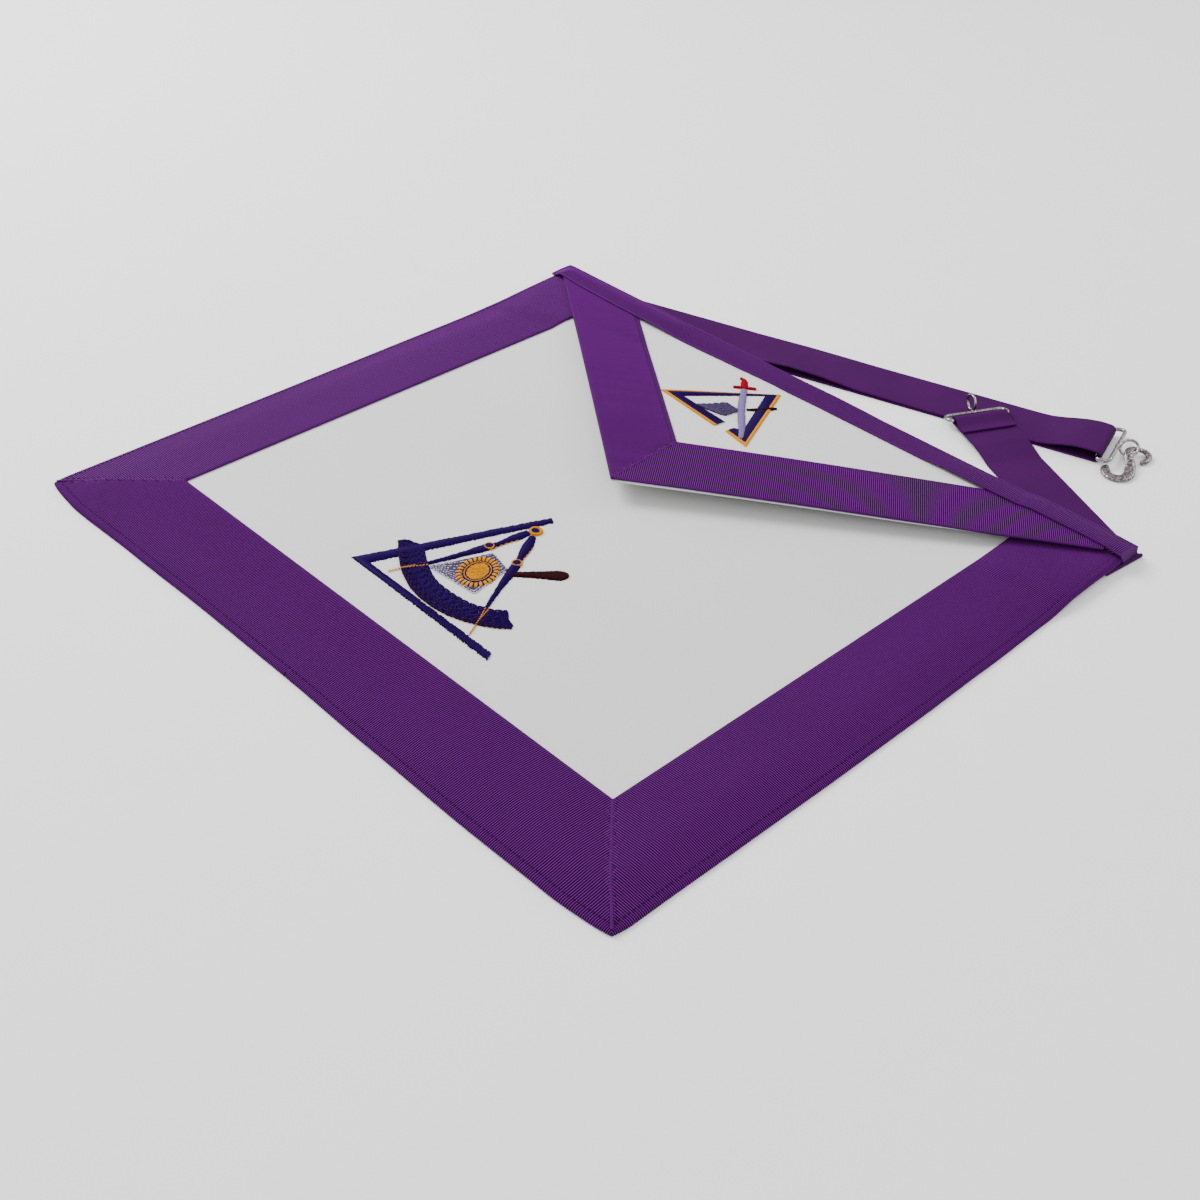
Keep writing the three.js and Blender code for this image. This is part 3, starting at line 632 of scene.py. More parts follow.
def line_object(name, lines):
    """A mesh of open lines, each a list of plan points."""
    points = [point for line in lines for point in line]
    edges = []
    start = 0
    for line in lines:
        edges.extend((start + index, start + index + 1) for index in range(len(line) - 1))
        start += len(line)
    mesh = bpy.data.meshes.new(name)
    mesh.from_pydata(part_points(points).tolist(), edges, [])
    return new_object(name, mesh)


def threads(name, lines, material, thickness):
    piece = line_object(name, lines)
    values = {"Thread Thickness": thickness, "Material": material}
    apply_recipe(piece, shared_tree("embroidery_threads", thread_tree), values)
    return piece


def stitches(name, lines, material, pitch):
    piece = line_object(name, lines)
    values = {"Stitch Pitch": pitch, "Stitch Width": STITCH_WIDTH, "Material": material}
    apply_recipe(piece, shared_tree("seam_stitches", stitch_tree), values)
    return piece


# Materials: the ribbons' gleam, the webbing's weave in metres and the tones of nickel
PURPLE_GLEAM = (0.55, 0.2, 0.9, 1.0)
WEFT_PITCH = 0.00085
WARP_PITCH = 0.0011
NICKEL_DARK = (0.20, 0.17, 0.18)
NICKEL_LIGHT = (0.46, 0.41, 0.43)
NICKEL_DULL = (0.09, 0.07, 0.08)


def lambskin(colours):
    finish = Finish("lambskin", {"Specular IOR Level": 0.3})
    base = colours.leather
    tint = finish.clouded(base, scale=9.0, detail=4.0, dark=0.965, light=1.02)
    grain = finish.noise(scale=1500.0, detail=4.0, roughness=0.6)
    creases = finish.noise(scale=260.0, detail=5.0)
    colour = finish.blend(grain.ramp(0.25, 0.6), shade(base, 0.94), tint)
    height = grain * 0.6 + creases * 0.4
    return finish.finish(colour, 0.5 + grain * 0.14, height, distance=0.00008, strength=0.5)


def grosgrain(colours, sizes):
    finish = Finish("purple_grosgrain", {"Specular IOR Level": 0.12, "Specular Tint": PURPLE_GLEAM})
    base = colours.ribbon
    run, _ = finish.lay()
    ribbed = finish.attribute("ribbed")
    rib = run.wave(sizes.rib_pitch) * ribbed + (1 - ribbed) * 0.66
    fibres = finish.strip_noise(along=2600.0, across=420.0, detail=2.0)
    twist = finish.strip_noise(along=900.0, across=2600.0, detail=2.0)
    body = finish.clouded(base, scale=26.0, detail=3.0, dark=0.9, light=1.1)
    # Painted shade and painted highlight of the ribs: each valley is painted nearly black and each crest far
    # lighter than the ribbon, on top of their relief; the smooth selvedges take a tone between.
    painted_valley_shade = finish.blend(rib.ramp(0.2, 0.9), shade(base, 0.04), body)
    painted_crest_highlight = finish.blend(rib.ramp(0.55, 1.0) * (0.8 + twist * 0.25), painted_valley_shade, shade(base, 2.6))
    colour = finish.blend(fibres.ramp(0.35, 0.8) * 0.1, painted_crest_highlight, shade(base, 0.75))
    height = rib * 0.4 + fibres * 0.35 + twist * 0.35
    return finish.finish(colour, 0.56 + fibres * 0.2, height, distance=0.00012, strength=0.6)


def plain_webbing(colours):
    finish = Finish("plain_webbing", {"Specular IOR Level": 0.1, "Specular Tint": PURPLE_GLEAM})
    base = colours.webbing
    run, across = finish.lay()
    weft = run.wave(WEFT_PITCH)
    warp = across.wave(WARP_PITCH)
    woven = weft * warp + (1 - weft) * (1 - warp)
    fibres = finish.strip_noise(along=900.0, across=2400.0, detail=3.0)
    body = finish.clouded(base, scale=30.0, detail=3.0, dark=0.9, light=1.12)
    lit = finish.blend(woven * 0.5, body, shade(base, 1.35))
    colour = finish.blend(fibres.ramp(0.4, 0.8) * 0.35, lit, shade(base, 0.6))
    height = woven * 0.6 + fibres * 0.4
    return finish.finish(colour, 0.66 + fibres * 0.16, height, distance=0.00014, strength=0.6)


def thread_finish(name, colour):
    gleam = opaque(shade(colour, 1 / max(colour)))
    finish = Finish(name, {"Specular IOR Level": 0.07, "Specular Tint": gleam})
    strands = finish.noise(scale=3800.0, detail=2.0)
    patches = finish.noise(scale=420.0, detail=2.0)
    dark = finish.blend(strands.ramp(0.3, 0.7), shade(colour, 0.6), shade(colour, 1.25))
    shown = finish.blend(patches.ramp(0.35, 0.65) * 0.5, dark, shade(colour, 0.85))
    return finish.finish(shown, 0.38 + strands * 0.2, strands, distance=0.00006, strength=0.5)


def nickel(scaled=False):
    name = "scaled_nickel" if scaled else "nickel_plate"
    finish = Finish(name, {"Metallic": 1.0})
    smears = finish.noise(scale=700.0, detail=4.0)
    pits = finish.noise(scale=2600.0, detail=3.0)
    colour = finish.blend(smears.ramp(0.3, 0.75), NICKEL_DARK, NICKEL_LIGHT)
    if not scaled:
        return finish.finish(colour, 0.13 + smears * 0.12, pits, distance=0.00003, strength=0.25)
    sockets = {"Vector": finish.place, "Scale": 1150.0}
    scale = finish.field("ShaderNodeTexVoronoi", sockets, "Distance", feature="F1")
    dulled = finish.blend(scale.ramp(0.25, 0.75), colour, NICKEL_DULL)
    height = (1 - scale) * 0.9 + pits * 0.1
    return finish.finish(dulled, 0.2 + smears * 0.16, height, distance=0.00022, strength=0.8)


def material_for(name, build, *values):
    return bpy.data.materials.get(name) or build(*values)


def ribbon_material(context):
    scene = context.scene
    return material_for("purple_grosgrain", grosgrain, scene.apron_colours, scene.apron_sizes)


def thread_material(context, key):
    name = f"{key}_thread"
    return material_for(name, thread_finish, name, tuple(getattr(context.scene.apron_colours, key)))


# Leather
def sheet_object(name, xs, ys, low, high):
    """A leather sheet over a grid in plan: xs has a row of places for each y."""
    there = np.broadcast_to(ys[:, None], xs.shape)
    under = waver(with_heights(xs, there, low(xs, there)))
    over = waver(with_heights(xs, there, high(xs, there)))
    return grid_object(name, np.concatenate((under, over[:, ::-1]), axis=1))


def apron_panel():
    step = 5.0
    edge = PANEL_BOTTOM
    xs = np.linspace(edge - HALF_WIDTH, HALF_WIDTH - edge, round(APRON_WIDTH / step))
    ys = np.linspace(edge, APRON_HEIGHT - edge, round(APRON_HEIGHT / step))
    wide = np.broadcast_to(xs, (len(ys), len(xs)))
    return sheet_object("leather_body", wide, ys, lambda x, y: stacked(x, y, PANEL_BOTTOM), body_top)


def flap_panel():
    tip_round = 0.4
    in_binding = np.linspace(APRON_HEIGHT - PANEL_BOTTOM, FLAP_SHOULDER, 5)[:-1]
    below = np.linspace(FLAP_SHOULDER, FLAP_TIP[1] + tip_round, 60)
    ys = np.concatenate((in_binding, below))
    down = np.clip((FLAP_SHOULDER - ys) / (FLAP_SHOULDER - FLAP_TIP[1]), 0, 1)
    left = mix(FLAP_LEATHER_DRAWN_IN - FLAP_HALF, FLAP_TIP[0], down)
    right = mix(FLAP_HALF - FLAP_LEATHER_DRAWN_IN, FLAP_TIP[0], down)
    right = right - HIDDEN_BY * smooth((HIDDEN_FROM - down) / HIDDEN_OVER)
    columns = 80
    wide = left[:, None] + (right - left)[:, None] * np.linspace(0, 1, columns)
    rounding = 0.45
    rounded_edge = 0.8

    def high(x, y):
        near = np.minimum(x - left[:, None], right[:, None] - x)
        return flap_top(x, y) - rounding * (1 - smooth(near / rounded_edge))

    return sheet_object("leather_flap", wide, ys, flap_underside, high)


# Ribbons
STEPS_PER_RIB = 4


def run_values(low, high, sizes):
    step = sizes.rib_pitch / MM / STEPS_PER_RIB
    return np.arange(math.floor(low / step), math.ceil(high / step) + 1) * step


def fold_profile(front_width, back_width, front, stitch_at=3.5):
    """Rows round a folded ribbon: distance from the fold, height over the underside, and how ribbed."""
    top = front + RIBBON
    selvedge = 0.9
    rows = [
        (front_width, front + 0.1, 0.0),
        (front_width, top - 0.45, 0.0),
        (front_width - 0.35, top - 0.1, 0.0),
        (front_width - selvedge, top, 0.6),
        (front_width - 1.8 * selvedge, top + 0.03, 1.0),
    ]
    spread = np.linspace(front_width - 3 * selvedge, 2.0 * stitch_at, max(3, round(front_width / 5)))
    crown = 0.16
    for distance in spread:
        share = (distance - stitch_at) / (front_width - stitch_at)
        rows.append((float(distance), top + crown * math.sin(math.pi * share), 1.0))
    rows.extend([
        (stitch_at + 1.0, top - 0.01, 1.0),
        (stitch_at, top - 0.12, 1.0),
        (stitch_at - 1.0, top - 0.03, 1.0),
        (1.4, top - 0.12, 1.0),
        (0.6, top - 0.4, 0.9),
        (0.15, top - 1.0, 0.8),
    ])
    low_side = min(1.0, 0.4 * front)
    rows.extend([
        (0.0, low_side, 0.8),
        (0.25, 0.28, 0.8),
        (0.9, 0.0, 1.0),
        (0.5 * back_width, 0.0, 1.0),
        (back_width - 0.4, 0.02, 0.5),
        (back_width, 0.3, 0.0),
        (back_width, RIBBON - 0.1, 0.0),
        (RIBBON + 0.2, RIBBON - 0.05, 0.0),
        (RIBBON, 0.5 * (RIBBON + front), 0.0),
        (RIBBON + 0.2, front, 0.0),
        (0.5 * front_width, front, 0.0),
    ])
    return rows


# Where the ribs' pull begins, in from the fold, and how it grows from there
SKEW_START = 18.0
SKEW_CURVE = 1.3


def ribbon_object(name, sizes, rows, limits, place, skew=0.0):
    """A ribbon made of rows along it, each clipped to its own limits, as at a mitre."""
    distance, height, ribbed = (np.array(column) for column in zip(*rows))
    low, high = (np.array(edge, float) for edge in limits(distance))
    pulled = skew * np.clip((distance - SKEW_START) / (BODY_RIBBON_WIDTH - SKEW_START), 0, 1) ** SKEW_CURVE
    run = run_values(low.min() - abs(skew), high.max() + abs(skew), sizes)
    along = np.clip(run[:, None] + pulled, low, high)
    across = np.broadcast_to(distance, along.shape)
    points = place(along, across, np.broadcast_to(height, along.shape))
    return grid_object(name, points, run=along - pulled, across=across, ribbed=ribbed)


# How far the side ribbons run on under the binding, and half the gap of a mitre
SIDE_TUCK = 4.5
MITRE_GAP = 0.01


def body_ribbons(context):
    sizes = context.scene.apron_sizes
    rows = fold_profile(BODY_RIBBON_WIDTH, TURN_UNDER, PANEL_TOP + LAYER_GAP)
    upper_end = FLAP_SHOULDER + SIDE_TUCK
    skew = sizes.rib_skew / MM

    def bottom_limits(distance):
        reach = HALF_WIDTH - np.maximum(distance, 0) - MITRE_GAP
        return -reach, reach

    def bottom_place(along, across, height):
        return waver(with_heights(along, across, stacked(along, across, height)))

    def side_limits(distance):
        return distance + MITRE_GAP, np.full_like(distance, upper_end)

    def side_place(side):
        def place(along, across, height):
            x = side * (HALF_WIDTH - across)
            return waver(with_heights(x, along, stacked(x, along, height)))
        return place

    bottom = ribbon_object("ribbon_bottom_edge", sizes, rows, bottom_limits, bottom_place, skew)
    finish_ribbon(context, bottom, "ribbon_bottom")
    for side, word in ((-1, "left"), (1, "right")):
        name = f"ribbon_{word}_edge"
        piece = ribbon_object(name, sizes, rows, side_limits, side_place(side), -side * skew)
        finish_ribbon(context, piece, f"ribbon_{word}")


# The folded ribbon end that shows as a ridge along a mitre: half its width and half its height, where it
# starts from the outer edge of the body and of the flap, and how far before the inner edge it ends
MITRE_RIDGE = (0.65, 0.3)
BODY_RIDGE_START = 1.5
FLAP_RIDGE_START = 0.6
RIDGE_END = 0.4
RIDGE_STEPS = 40
RIDGE_SIDES = 10


def mitre_ridges(context):
    """The folded ends of the bottom ribbon, and of the flap's left ribbon at its tip."""
    over = LAYER_GAP + RIBBON
    lines = []
    inward = np.linspace(BODY_RIDGE_START, BODY_RIBBON_WIDTH - RIDGE_END, RIDGE_STEPS)
    for side in (-1, 1):
        lines.append(lifted_line(side * (HALF_WIDTH - inward), inward, body_top, over))
    edge = FLAP_EDGES["left"]
    insets = np.linspace(FLAP_RIDGE_START, edge.inner - RIDGE_END, RIDGE_STEPS)
    xs, ys = edge.point(edge.at_seam(insets, 0.0), insets)
    lines.append(lifted_line(xs, ys, flap_top, over))
    pieces = []
    for index, line in enumerate(lines):
        points = tube(line, RIDGE_SIDES, False, *MITRE_RIDGE)
        run = inward[:, None]
        pieces.append(grid_object(f"ridge_{index}", points, run=run, across=run, ribbed=0.0))
    ridges = join("mitre_ridges", pieces)
    dress(ridges, ribbon_material(context))
    keep(ridges, "purple_ribbon")


def join(name, pieces):
    """One object out of several."""
    bm = bmesh.new()
    for piece in pieces:
        bm.from_mesh(piece.data)
        bpy.data.objects.remove(piece)
    mesh = bpy.data.meshes.new(name)
    bm.to_mesh(mesh)
    bm.free()
    return new_object(name, mesh)


def finish_ribbon(context, piece, node):
    """Raises a ribbon's ribs and lets it stand for its solid."""
    sizes = context.scene.apron_sizes
    values = {"Rib Pitch": sizes.rib_pitch, "Rib Height": sizes.rib_height}
    values["Material"] = ribbon_material(context)
    apply_recipe(piece, shared_tree("ribbon_ribs", rib_tree), values)
    keep(piece, "purple_ribbon", node)


class FlapEdge:
    """One slanting edge of the flap, measured along it from the tip and in from it."""

    def __init__(self, side, width):
        self.side = side
        self.inner = FLAP_EDGE_SHOWING + width
        run = FLAP_HALF - side * FLAP_TIP[0]
        rise = FLAP_SHOULDER - FLAP_TIP[1]
        length = math.hypot(run, rise)
        self.cos = run / length
        self.sin = rise / length

    def point(self, along, inset):
        x = FLAP_TIP[0] + self.side * (along * self.cos - inset * self.sin)
        y = FLAP_TIP[1] + along * self.sin + inset * self.cos
        return x, y

    def at_seam(self, inset, gap):
        """Place along the edge of a point that lies gap to the side of the mitre."""
        lean = mitre_lean()
        sideways = self.side * (gap + inset * self.sin) + lean * inset * self.cos
        return sideways / (self.side * self.cos - lean * self.sin)

    def at_height(self, inset, y):
        return (y - FLAP_TIP[1] - inset * self.cos) / self.sin

    def inner_end(self):
        """Where the ribbon's inner edge meets the binding, across the apron."""
        return self.point(self.at_height(self.inner, FLAP_SHOULDER), self.inner)[0]

    def at_side(self, inset, reach):
        return (reach - self.side * FLAP_TIP[0] + inset * self.sin) / self.cos


FLAP_EDGES = {
    "left": FlapEdge(-1, FLAP_RIBBON_WIDTH["left"]),
    "right": FlapEdge(1, FLAP_RIBBON_WIDTH["right"]),
}


def mitre_lean():
    """Sideways run of the flap's mitre for each millimetre up from the tip."""
    left, right = FLAP_EDGES.values()
    over = left.inner * right.cos - right.inner * left.cos
    return over / (left.inner * right.sin + right.inner * left.sin)


def flat_profile(near, far):
    """Rows round a flat ribbon, from its far edge over the top to its near edge and back under."""
    middle = np.linspace(far - 3.6, near + 3.6, 9)
    rows = [(far, 0.1, 0.0), (far, 0.6, 0.0), (far - 0.35, 0.92, 0.0), (far - 1.6, 1.0, 0.25)]
    rows.extend((float(distance), 1.0, 1.0) for distance in middle)
    rows.extend([
        (near + 2.0, 0.96, 1.0), (near + 1.1, 0.98, 0.4), (near + 0.3, 0.85, 0.0),
        (near, 0.5, 0.0), (near, 0.1, 0.0), (near + 0.4, 0.0, 0.0),
        (0.5 * (near + far), 0.0, 0.0), (far - 0.4, 0.0, 0.0),
    ])
    return rows


def flap_ribbon(context, word):
    edge = FLAP_EDGES[word]
    rows = flat_profile(FLAP_SHOWING[word], edge.inner)
    upper_end = FLAP_SHOULDER + RIBBON_TUCK

    def limits(inset):
        reach = np.minimum(edge.at_height(inset, upper_end), edge.at_side(inset, FLAP_HALF))
        return edge.at_seam(inset, MITRE_GAP), reach

    def place(along, across, height):
        x, y = edge.point(along, across)
        return waver(with_heights(x, y, flap_top(x, y) + LAYER_GAP + height))

    piece = ribbon_object(f"flap_{word}_ribbon", context.scene.apron_sizes, rows, limits, place)
    finish_ribbon(context, piece, f"flap_ribbon_{word}")


# Rows of a fold's inner wall, the length of the binding's closed ends and what share they sink by
INNER_ROWS = 4
END_PLUG = 1.2
LEFT_END_SINK = 1.0
RIGHT_END_SINK = 0.35

# How far from the apron's sides the binding's ribs fade away
RIBS_FADE = 2.0

# Places along the apron and how far the binding's lower edge strays down there
BINDING_STRAY = (
    (-202, 0.5), (-172, 4.0), (-140, 5.3), (-110, 5.5), (-75, 4.8), (-45, 3.2), (-20, 0.8),
    (10, 0.6), (50, 1.6), (120, 1.6), (202, 1.0),
)

# Places along the apron and how far the whole binding stands out past the top edge there
BINDING_RISE = ((-202, 0), (-20, 0), (20, 1.0), (50, 2.0), (100, 2.3), (150, 3.0), (180, 3.0), (202, 2.2))


def binding_reach(x):
    """Width of the binding's front leg."""
    return BINDING_WIDTH + np.interp(x, *zip(*BINDING_STRAY))


def binding_fold(x):
    """Place of the binding's fold, across the apron."""
    return APRON_HEIGHT + np.interp(x, *zip(*BINDING_RISE))


def binding_front(x, from_top):
    """Height of the binding's front leg over the body's underside."""
    y = APRON_HEIGHT - from_top
    left, right = (abs(edge.inner_end()) for edge in FLAP_EDGES.values())
    inner_end = np.where(x < 0, left, right)
    step = LIFT_SIDE_MARGIN
    begin = 0.2 * (BINDING_WIDTH - RIBBON_TUCK)
    climb = 0.5 * BINDING_WIDTH - 0.2 * RIBBON_TUCK
    over = smooth((np.abs(x) - inner_end + 2 * step) / step) * smooth((from_top - begin) / climb)
    front = flap_top(x, y) + LAYER_GAP + over * (RIBBON + LAYER_GAP) - underside(x, y)
    past_flap = np.where(x < 0, LEFT_END_SINK, RIGHT_END_SINK)
    past_flap = past_flap * smooth((np.abs(x) - FLAP_HALF) / (HALF_WIDTH - FLAP_HALF))
    return mix(front, PANEL_TOP + RIBBON + 2 * LAYER_GAP, past_flap)


def plug_ends(points, closed):
    """Closes a fold at its ends: its inner wall moves out to the line between its two lips."""
    lips = points[:, -INNER_ROWS - 1].copy(), points[:, 0].copy()
    shares = np.linspace(0, 1, INNER_ROWS + 2)[1:-1]
    for row, share in zip(range(-INNER_ROWS, 0), shares):
        points[:, row] = mix(points[:, row], mix(*lips, share), closed[:, None])


def binding_object(context):
    base = 10.0
    end = HALF_WIDTH + BINDING_OVERHANG
    profile = fold_profile(BINDING_WIDTH, BINDING_BACK, base, stitch_at=2.2)
    distance, height, ribbed = (np.array(column) for column in zip(*profile))
    run = np.clip(run_values(-end, end, context.scene.apron_sizes), -end, end)
    x = np.broadcast_to(run[:, None], (len(run), len(distance)))
    from_top = distance * binding_reach(x) / BINDING_WIDTH
    front = binding_front(x, from_top)
    lifted = np.where(height >= base, front + height - base, height)
    wall = (height > RIBBON) & (height < base)
    lifted = np.where(wall, 0.5 * (front + RIBBON), lifted)
    y = binding_fold(x) - from_top
    points = waver(with_heights(x, y, underside(x, y) + lifted))
    plug_ends(points, smooth((np.abs(run) - HALF_WIDTH + END_PLUG) / END_PLUG))
    mask = ribbed * smooth((HALF_WIDTH - np.abs(x)) / RIBS_FADE)
    piece = grid_object("edge_binding", points, run=x, across=from_top, ribbed=mask)
    finish_ribbon(context, piece, "top_binding")


# Straps
WEB_LOW = WEBBING / 2
WEB_HIGH = WEB_LOW + WEBBING + LAYER_GAP
LONG_TURN_HIGH = WEB_LOW + 2 * HOOK_FOLD_RADIUS

# Upper layer of the long strap: share of its length, lift of the near edge and of the far edge
UPPER_LAYER = (
    (0.985, 1.04, 1.06), (0.965, 0.96, 0.92), (0.945, 0.7, 0.64), (0.925, 0.3, 0.3),
    (0.905, 0.04, 0.06), (0.885, 0, 0), (0.8, 0, 0), (0.7, 0, 0), (0.59, 0.1, 0), (0.53, 0.5, 0.05),
    (0.47, 0.62, 0.08), (0.42, 0.35, 0.04), (0.37, 0, 0), (0.2, 0, 0), (0, 0, 0),
)
FOLD_RADIUS = (WEBBING + LAYER_GAP) / 2
TURN_STEPS = 14
FOLD_STEPS = 8
EYE_STRAP_LOW = DOUBLED_STRAP + WEBBING / 2
EYE_TURN_RADIUS = WIRE / 2 + LAYER_GAP + WEBBING / 2
EYE_BAR_HEIGHT = EYE_STRAP_LOW + EYE_TURN_RADIUS


def half_turn(run, along, low, radius, ruling, steps):
    stations = []
    for step in range(1, steps):
        angle = math.pi * step / steps - math.pi / 2
        place = run.at(along + radius * math.cos(angle), 0, low + radius + radius * math.sin(angle))
        stations.append((place, ruling))
    return stations


def long_stations():
    ruling = LONG_RUN.leftward
    stations = [(LONG_RUN.at(share * LONG_LENGTH, 0, WEB_LOW), ruling) for share in np.linspace(0, 1, 12)]
    stations += half_turn(LONG_RUN, LONG_LENGTH, WEB_LOW, HOOK_FOLD_RADIUS, ruling, TURN_STEPS)
    stations.append((LONG_RUN.at(LONG_LENGTH, 0, LONG_TURN_HIGH), ruling))
    for share, near, far in UPPER_LAYER:
        along = share * LONG_LENGTH
        far_point = LONG_RUN.at(along, STRAP_WIDTH / 2, mix(WEB_HIGH, LONG_TURN_HIGH, far))
        near_point = LONG_RUN.at(along, -STRAP_WIDTH / 2, mix(WEB_HIGH, LONG_TURN_HIGH, near))
        across = far_point - near_point
        stations.append(((far_point + near_point) / 2, across / np.linalg.norm(across)))
    return stations


def overlap_length():
    corner = SHORT_RUN.at(SHORT_LENGTH, -STRAP_WIDTH / 2, 0)
    at_bar = LONG_RUN.local(corner[0], corner[1])[1]
    per_length = float(SHORT_RUN.forward @ LONG_RUN.leftward)
    return (at_bar + STRAP_WIDTH / 2 + LAYER_GAP) / per_length


# The short strap's fold is bunched: its share of the full width, and how far it slips up past the corner
FOLD_GATHER = 0.81
FOLD_SLIP = (-1.2, 6.4, 0.0)


def short_stations():
    stretch = 1 / math.sin(math.radians(CORNER_FOLD_ANGLE - SEWN_HEADING))
    fold_ruling = direction(CORNER_FOLD_ANGLE) * stretch
    gathered = fold_ruling * FOLD_GATHER
    fold_run = Run(FOLD_POINT + np.array(FOLD_SLIP), CORNER_FOLD_ANGLE - 90)
    fold_high = WEB_LOW + 2 * FOLD_RADIUS
    leaving = direction(SHORT_ANGLE - 90)
    stations = [
        (SEWN_RUN.at(0, 0, WEB_HIGH), SEWN_RUN.leftward),
        (SEWN_RUN.at(SEWN_LENGTH / 2, 0, WEB_HIGH), SEWN_RUN.leftward),
        (SEWN_RUN.at(0.9 * SEWN_LENGTH, 0, WEB_HIGH), fold_ruling),
        (fold_run.at(0, 0, fold_high), gathered),
    ]
    stations += half_turn(fold_run, 0, WEB_LOW, FOLD_RADIUS, gathered, FOLD_STEPS)[::-1]
    climb = STRAP_WIDTH / 2
    reach = SHORT_LENGTH - overlap_length()
    stations += [
        (fold_run.at(0, 0, WEB_LOW), gathered),
        (SHORT_RUN.at(0.12 * SHORT_LENGTH, 0, WEB_LOW), mix(fold_ruling, leaving, 0.5)),
        (SHORT_RUN.at(0.3 * SHORT_LENGTH, 0, WEB_LOW), leaving),
        (SHORT_RUN.at(reach - climb, 0, WEB_LOW), leaving),
        (SHORT_RUN.at(reach - climb / 2, 0, mix(WEB_LOW, EYE_STRAP_LOW, 0.6)), leaving),
        (SHORT_RUN.at(reach, 0, EYE_STRAP_LOW), leaving),
        (SHORT_RUN.at(SHORT_LENGTH, 0, EYE_STRAP_LOW), leaving),
    ]
    stations += half_turn(SHORT_RUN, SHORT_LENGTH, EYE_STRAP_LOW, EYE_TURN_RADIUS, leaving, TURN_STEPS)
    turned_high = EYE_STRAP_LOW + 2 * EYE_TURN_RADIUS
    turned_low = EYE_STRAP_LOW + WEBBING + LAYER_GAP
    for share, height in ((0, 1), (0.12, 1), (0.35, 0.5), (0.55, 0.08), (0.7, 0), (1, 0)):
        along = SHORT_LENGTH - share * TURNED_END
        stations.append((SHORT_RUN.at(along, 0, mix(turned_low, turned_high, height)), leaving))
    return stations


def refine(values, reach, step):
    """Even places between the stations, never past them, and what lies there."""
    here = []
    for start, gap in zip(reach, np.diff(reach)):
        pieces = max(1, math.ceil(gap / step))
        here.extend(start + gap * part / pieces for part in range(pieces))
    here.append(reach[-1])
    return np.array(here), along_line(values, here, reach)


def reaches(line):
    """Length of a line up to each of its points."""
    return np.concatenate(((0.0,), np.cumsum(np.linalg.norm(np.diff(line, axis=0), axis=1))))


def along_line(values, at, reach):
    """What lies at some lengths of a line, between its points."""
    return np.stack([np.interp(at, reach, column) for column in values.T], axis=-1)


def soften(values, passes):
    """Rounds the corners that straight steps leave; the ends stay."""
    for _ in range(passes):
        inner = 0.25 * values[:-2] + 0.5 * values[1:-1] + 0.25 * values[2:]
        values = np.concatenate((values[:1], inner, values[-1:]))
    return values


# Section of the webbing: shares of its half width and of its half thickness
WEB_SECTION = (
    (1.0, 0.35), (0.985, 0.9), (0.93, 1.0), (0.5, 1.0), (0.0, 1.0), (-0.5, 1.0), (-0.93, 1.0),
    (-0.985, 0.9), (-1.0, 0.35), (-1.0, -0.35), (-0.985, -0.9), (-0.93, -1.0), (-0.5, -1.0),
    (0.0, -1.0), (0.5, -1.0), (0.93, -1.0), (0.985, -0.9), (1.0, -0.35),
)


def strap_object(name, stations):
    """A strap through its stations, and the length of its middle line."""
    centres, rulings = (np.array(column) for column in zip(*stations))
    run, values = refine(np.hstack((centres, rulings)), reaches(centres), 1.0)
    values = soften(values, 2)
    centre = values[:, :3]
    ruling = values[:, 3:]
    up = np.cross(np.gradient(centre, axis=0), ruling)
    up /= np.linalg.norm(up, axis=1, keepdims=True)
    points = np.stack([
        centre + ruling * (wide * STRAP_WIDTH / 2) + up * (thick * WEBBING / 2) for wide, thick in WEB_SECTION
    ], axis=1)
    across = np.array([wide * STRAP_WIDTH / 2 for wide, _ in WEB_SECTION])
    return grid_object(name, points, run=run[:, None], across=across), float(run[-1])


# Fittings: steps round a ring and round each section, the solder sleeve's length and radii, and the cell
# size in metres of the soldering
RING_STEPS = 40
RING_SIDES = 12
WIRE_SIDES = 14
HOOK_SIDES = 18
SLEEVE_LENGTH = 3.4
SLEEVE_RADII = (0.9, 1.15, 1.35, 1.4, 1.35, 1.15, 0.9)
SOLDER_CELL = 0.00024


def tube(path, sides, closed, wide, tall):
    """Sections of a round or flattened tube along a path, from its half width and half height."""
    path = np.asarray(path, float)
    if closed:
        forward = np.roll(path, -1, axis=0) - np.roll(path, 1, axis=0)
    else:
        forward = np.gradient(path, axis=0)
    forward /= np.linalg.norm(forward, axis=1, keepdims=True)
    across = np.cross(np.array((0.0, 0.0, 1.0)), forward)
    across /= np.linalg.norm(across, axis=1, keepdims=True)
    over = np.cross(forward, across)
    angle = 2 * np.pi * (np.arange(sides) + 0.5) / sides
    wide, tall = (np.broadcast_to(half, (len(path),))[:, None] for half in (wide, tall))
    side = across[:, None, :] * (wide * np.cos(angle))[..., None]
    lift = over[:, None, :] * (tall * np.sin(angle))[..., None]
    return path[:, None, :] + side + lift


def loop_path():
    half = (STRAP_WIDTH + 2 * LOOP_SIDE_CLEARANCE) / 2 + WIRE / 2
    steps = 8
    bar_steps = 12
    corners = (
        (LOOP_DEPTH - LOOP_CORNER, half - LOOP_CORNER, 0), (LOOP_CORNER, half - LOOP_CORNER, 90),
        (LOOP_CORNER, LOOP_CORNER - half, 180), (LOOP_DEPTH - LOOP_CORNER, LOOP_CORNER - half, 270),
    )
    path = []
    for x, y, start in corners:
        for step in range(steps + 1):
            out = direction(start + 90 * step / steps)
            path.append(np.array((x, y, 0)) + out * LOOP_CORNER)
    dense = []
    for here, after in zip(path, path[1:] + path[:1]):
        gap = np.linalg.norm(after - here)
        count = bar_steps if gap > 2 * LOOP_CORNER else 1
        dense.extend(mix(here, after, part / count) for part in range(count))
    return np.array(dense)


def ring_path(diameter):
    angle = 2 * np.pi * np.arange(RING_STEPS) / RING_STEPS
    return with_heights(np.cos(angle), np.sin(angle), 0) * (diameter / 2)


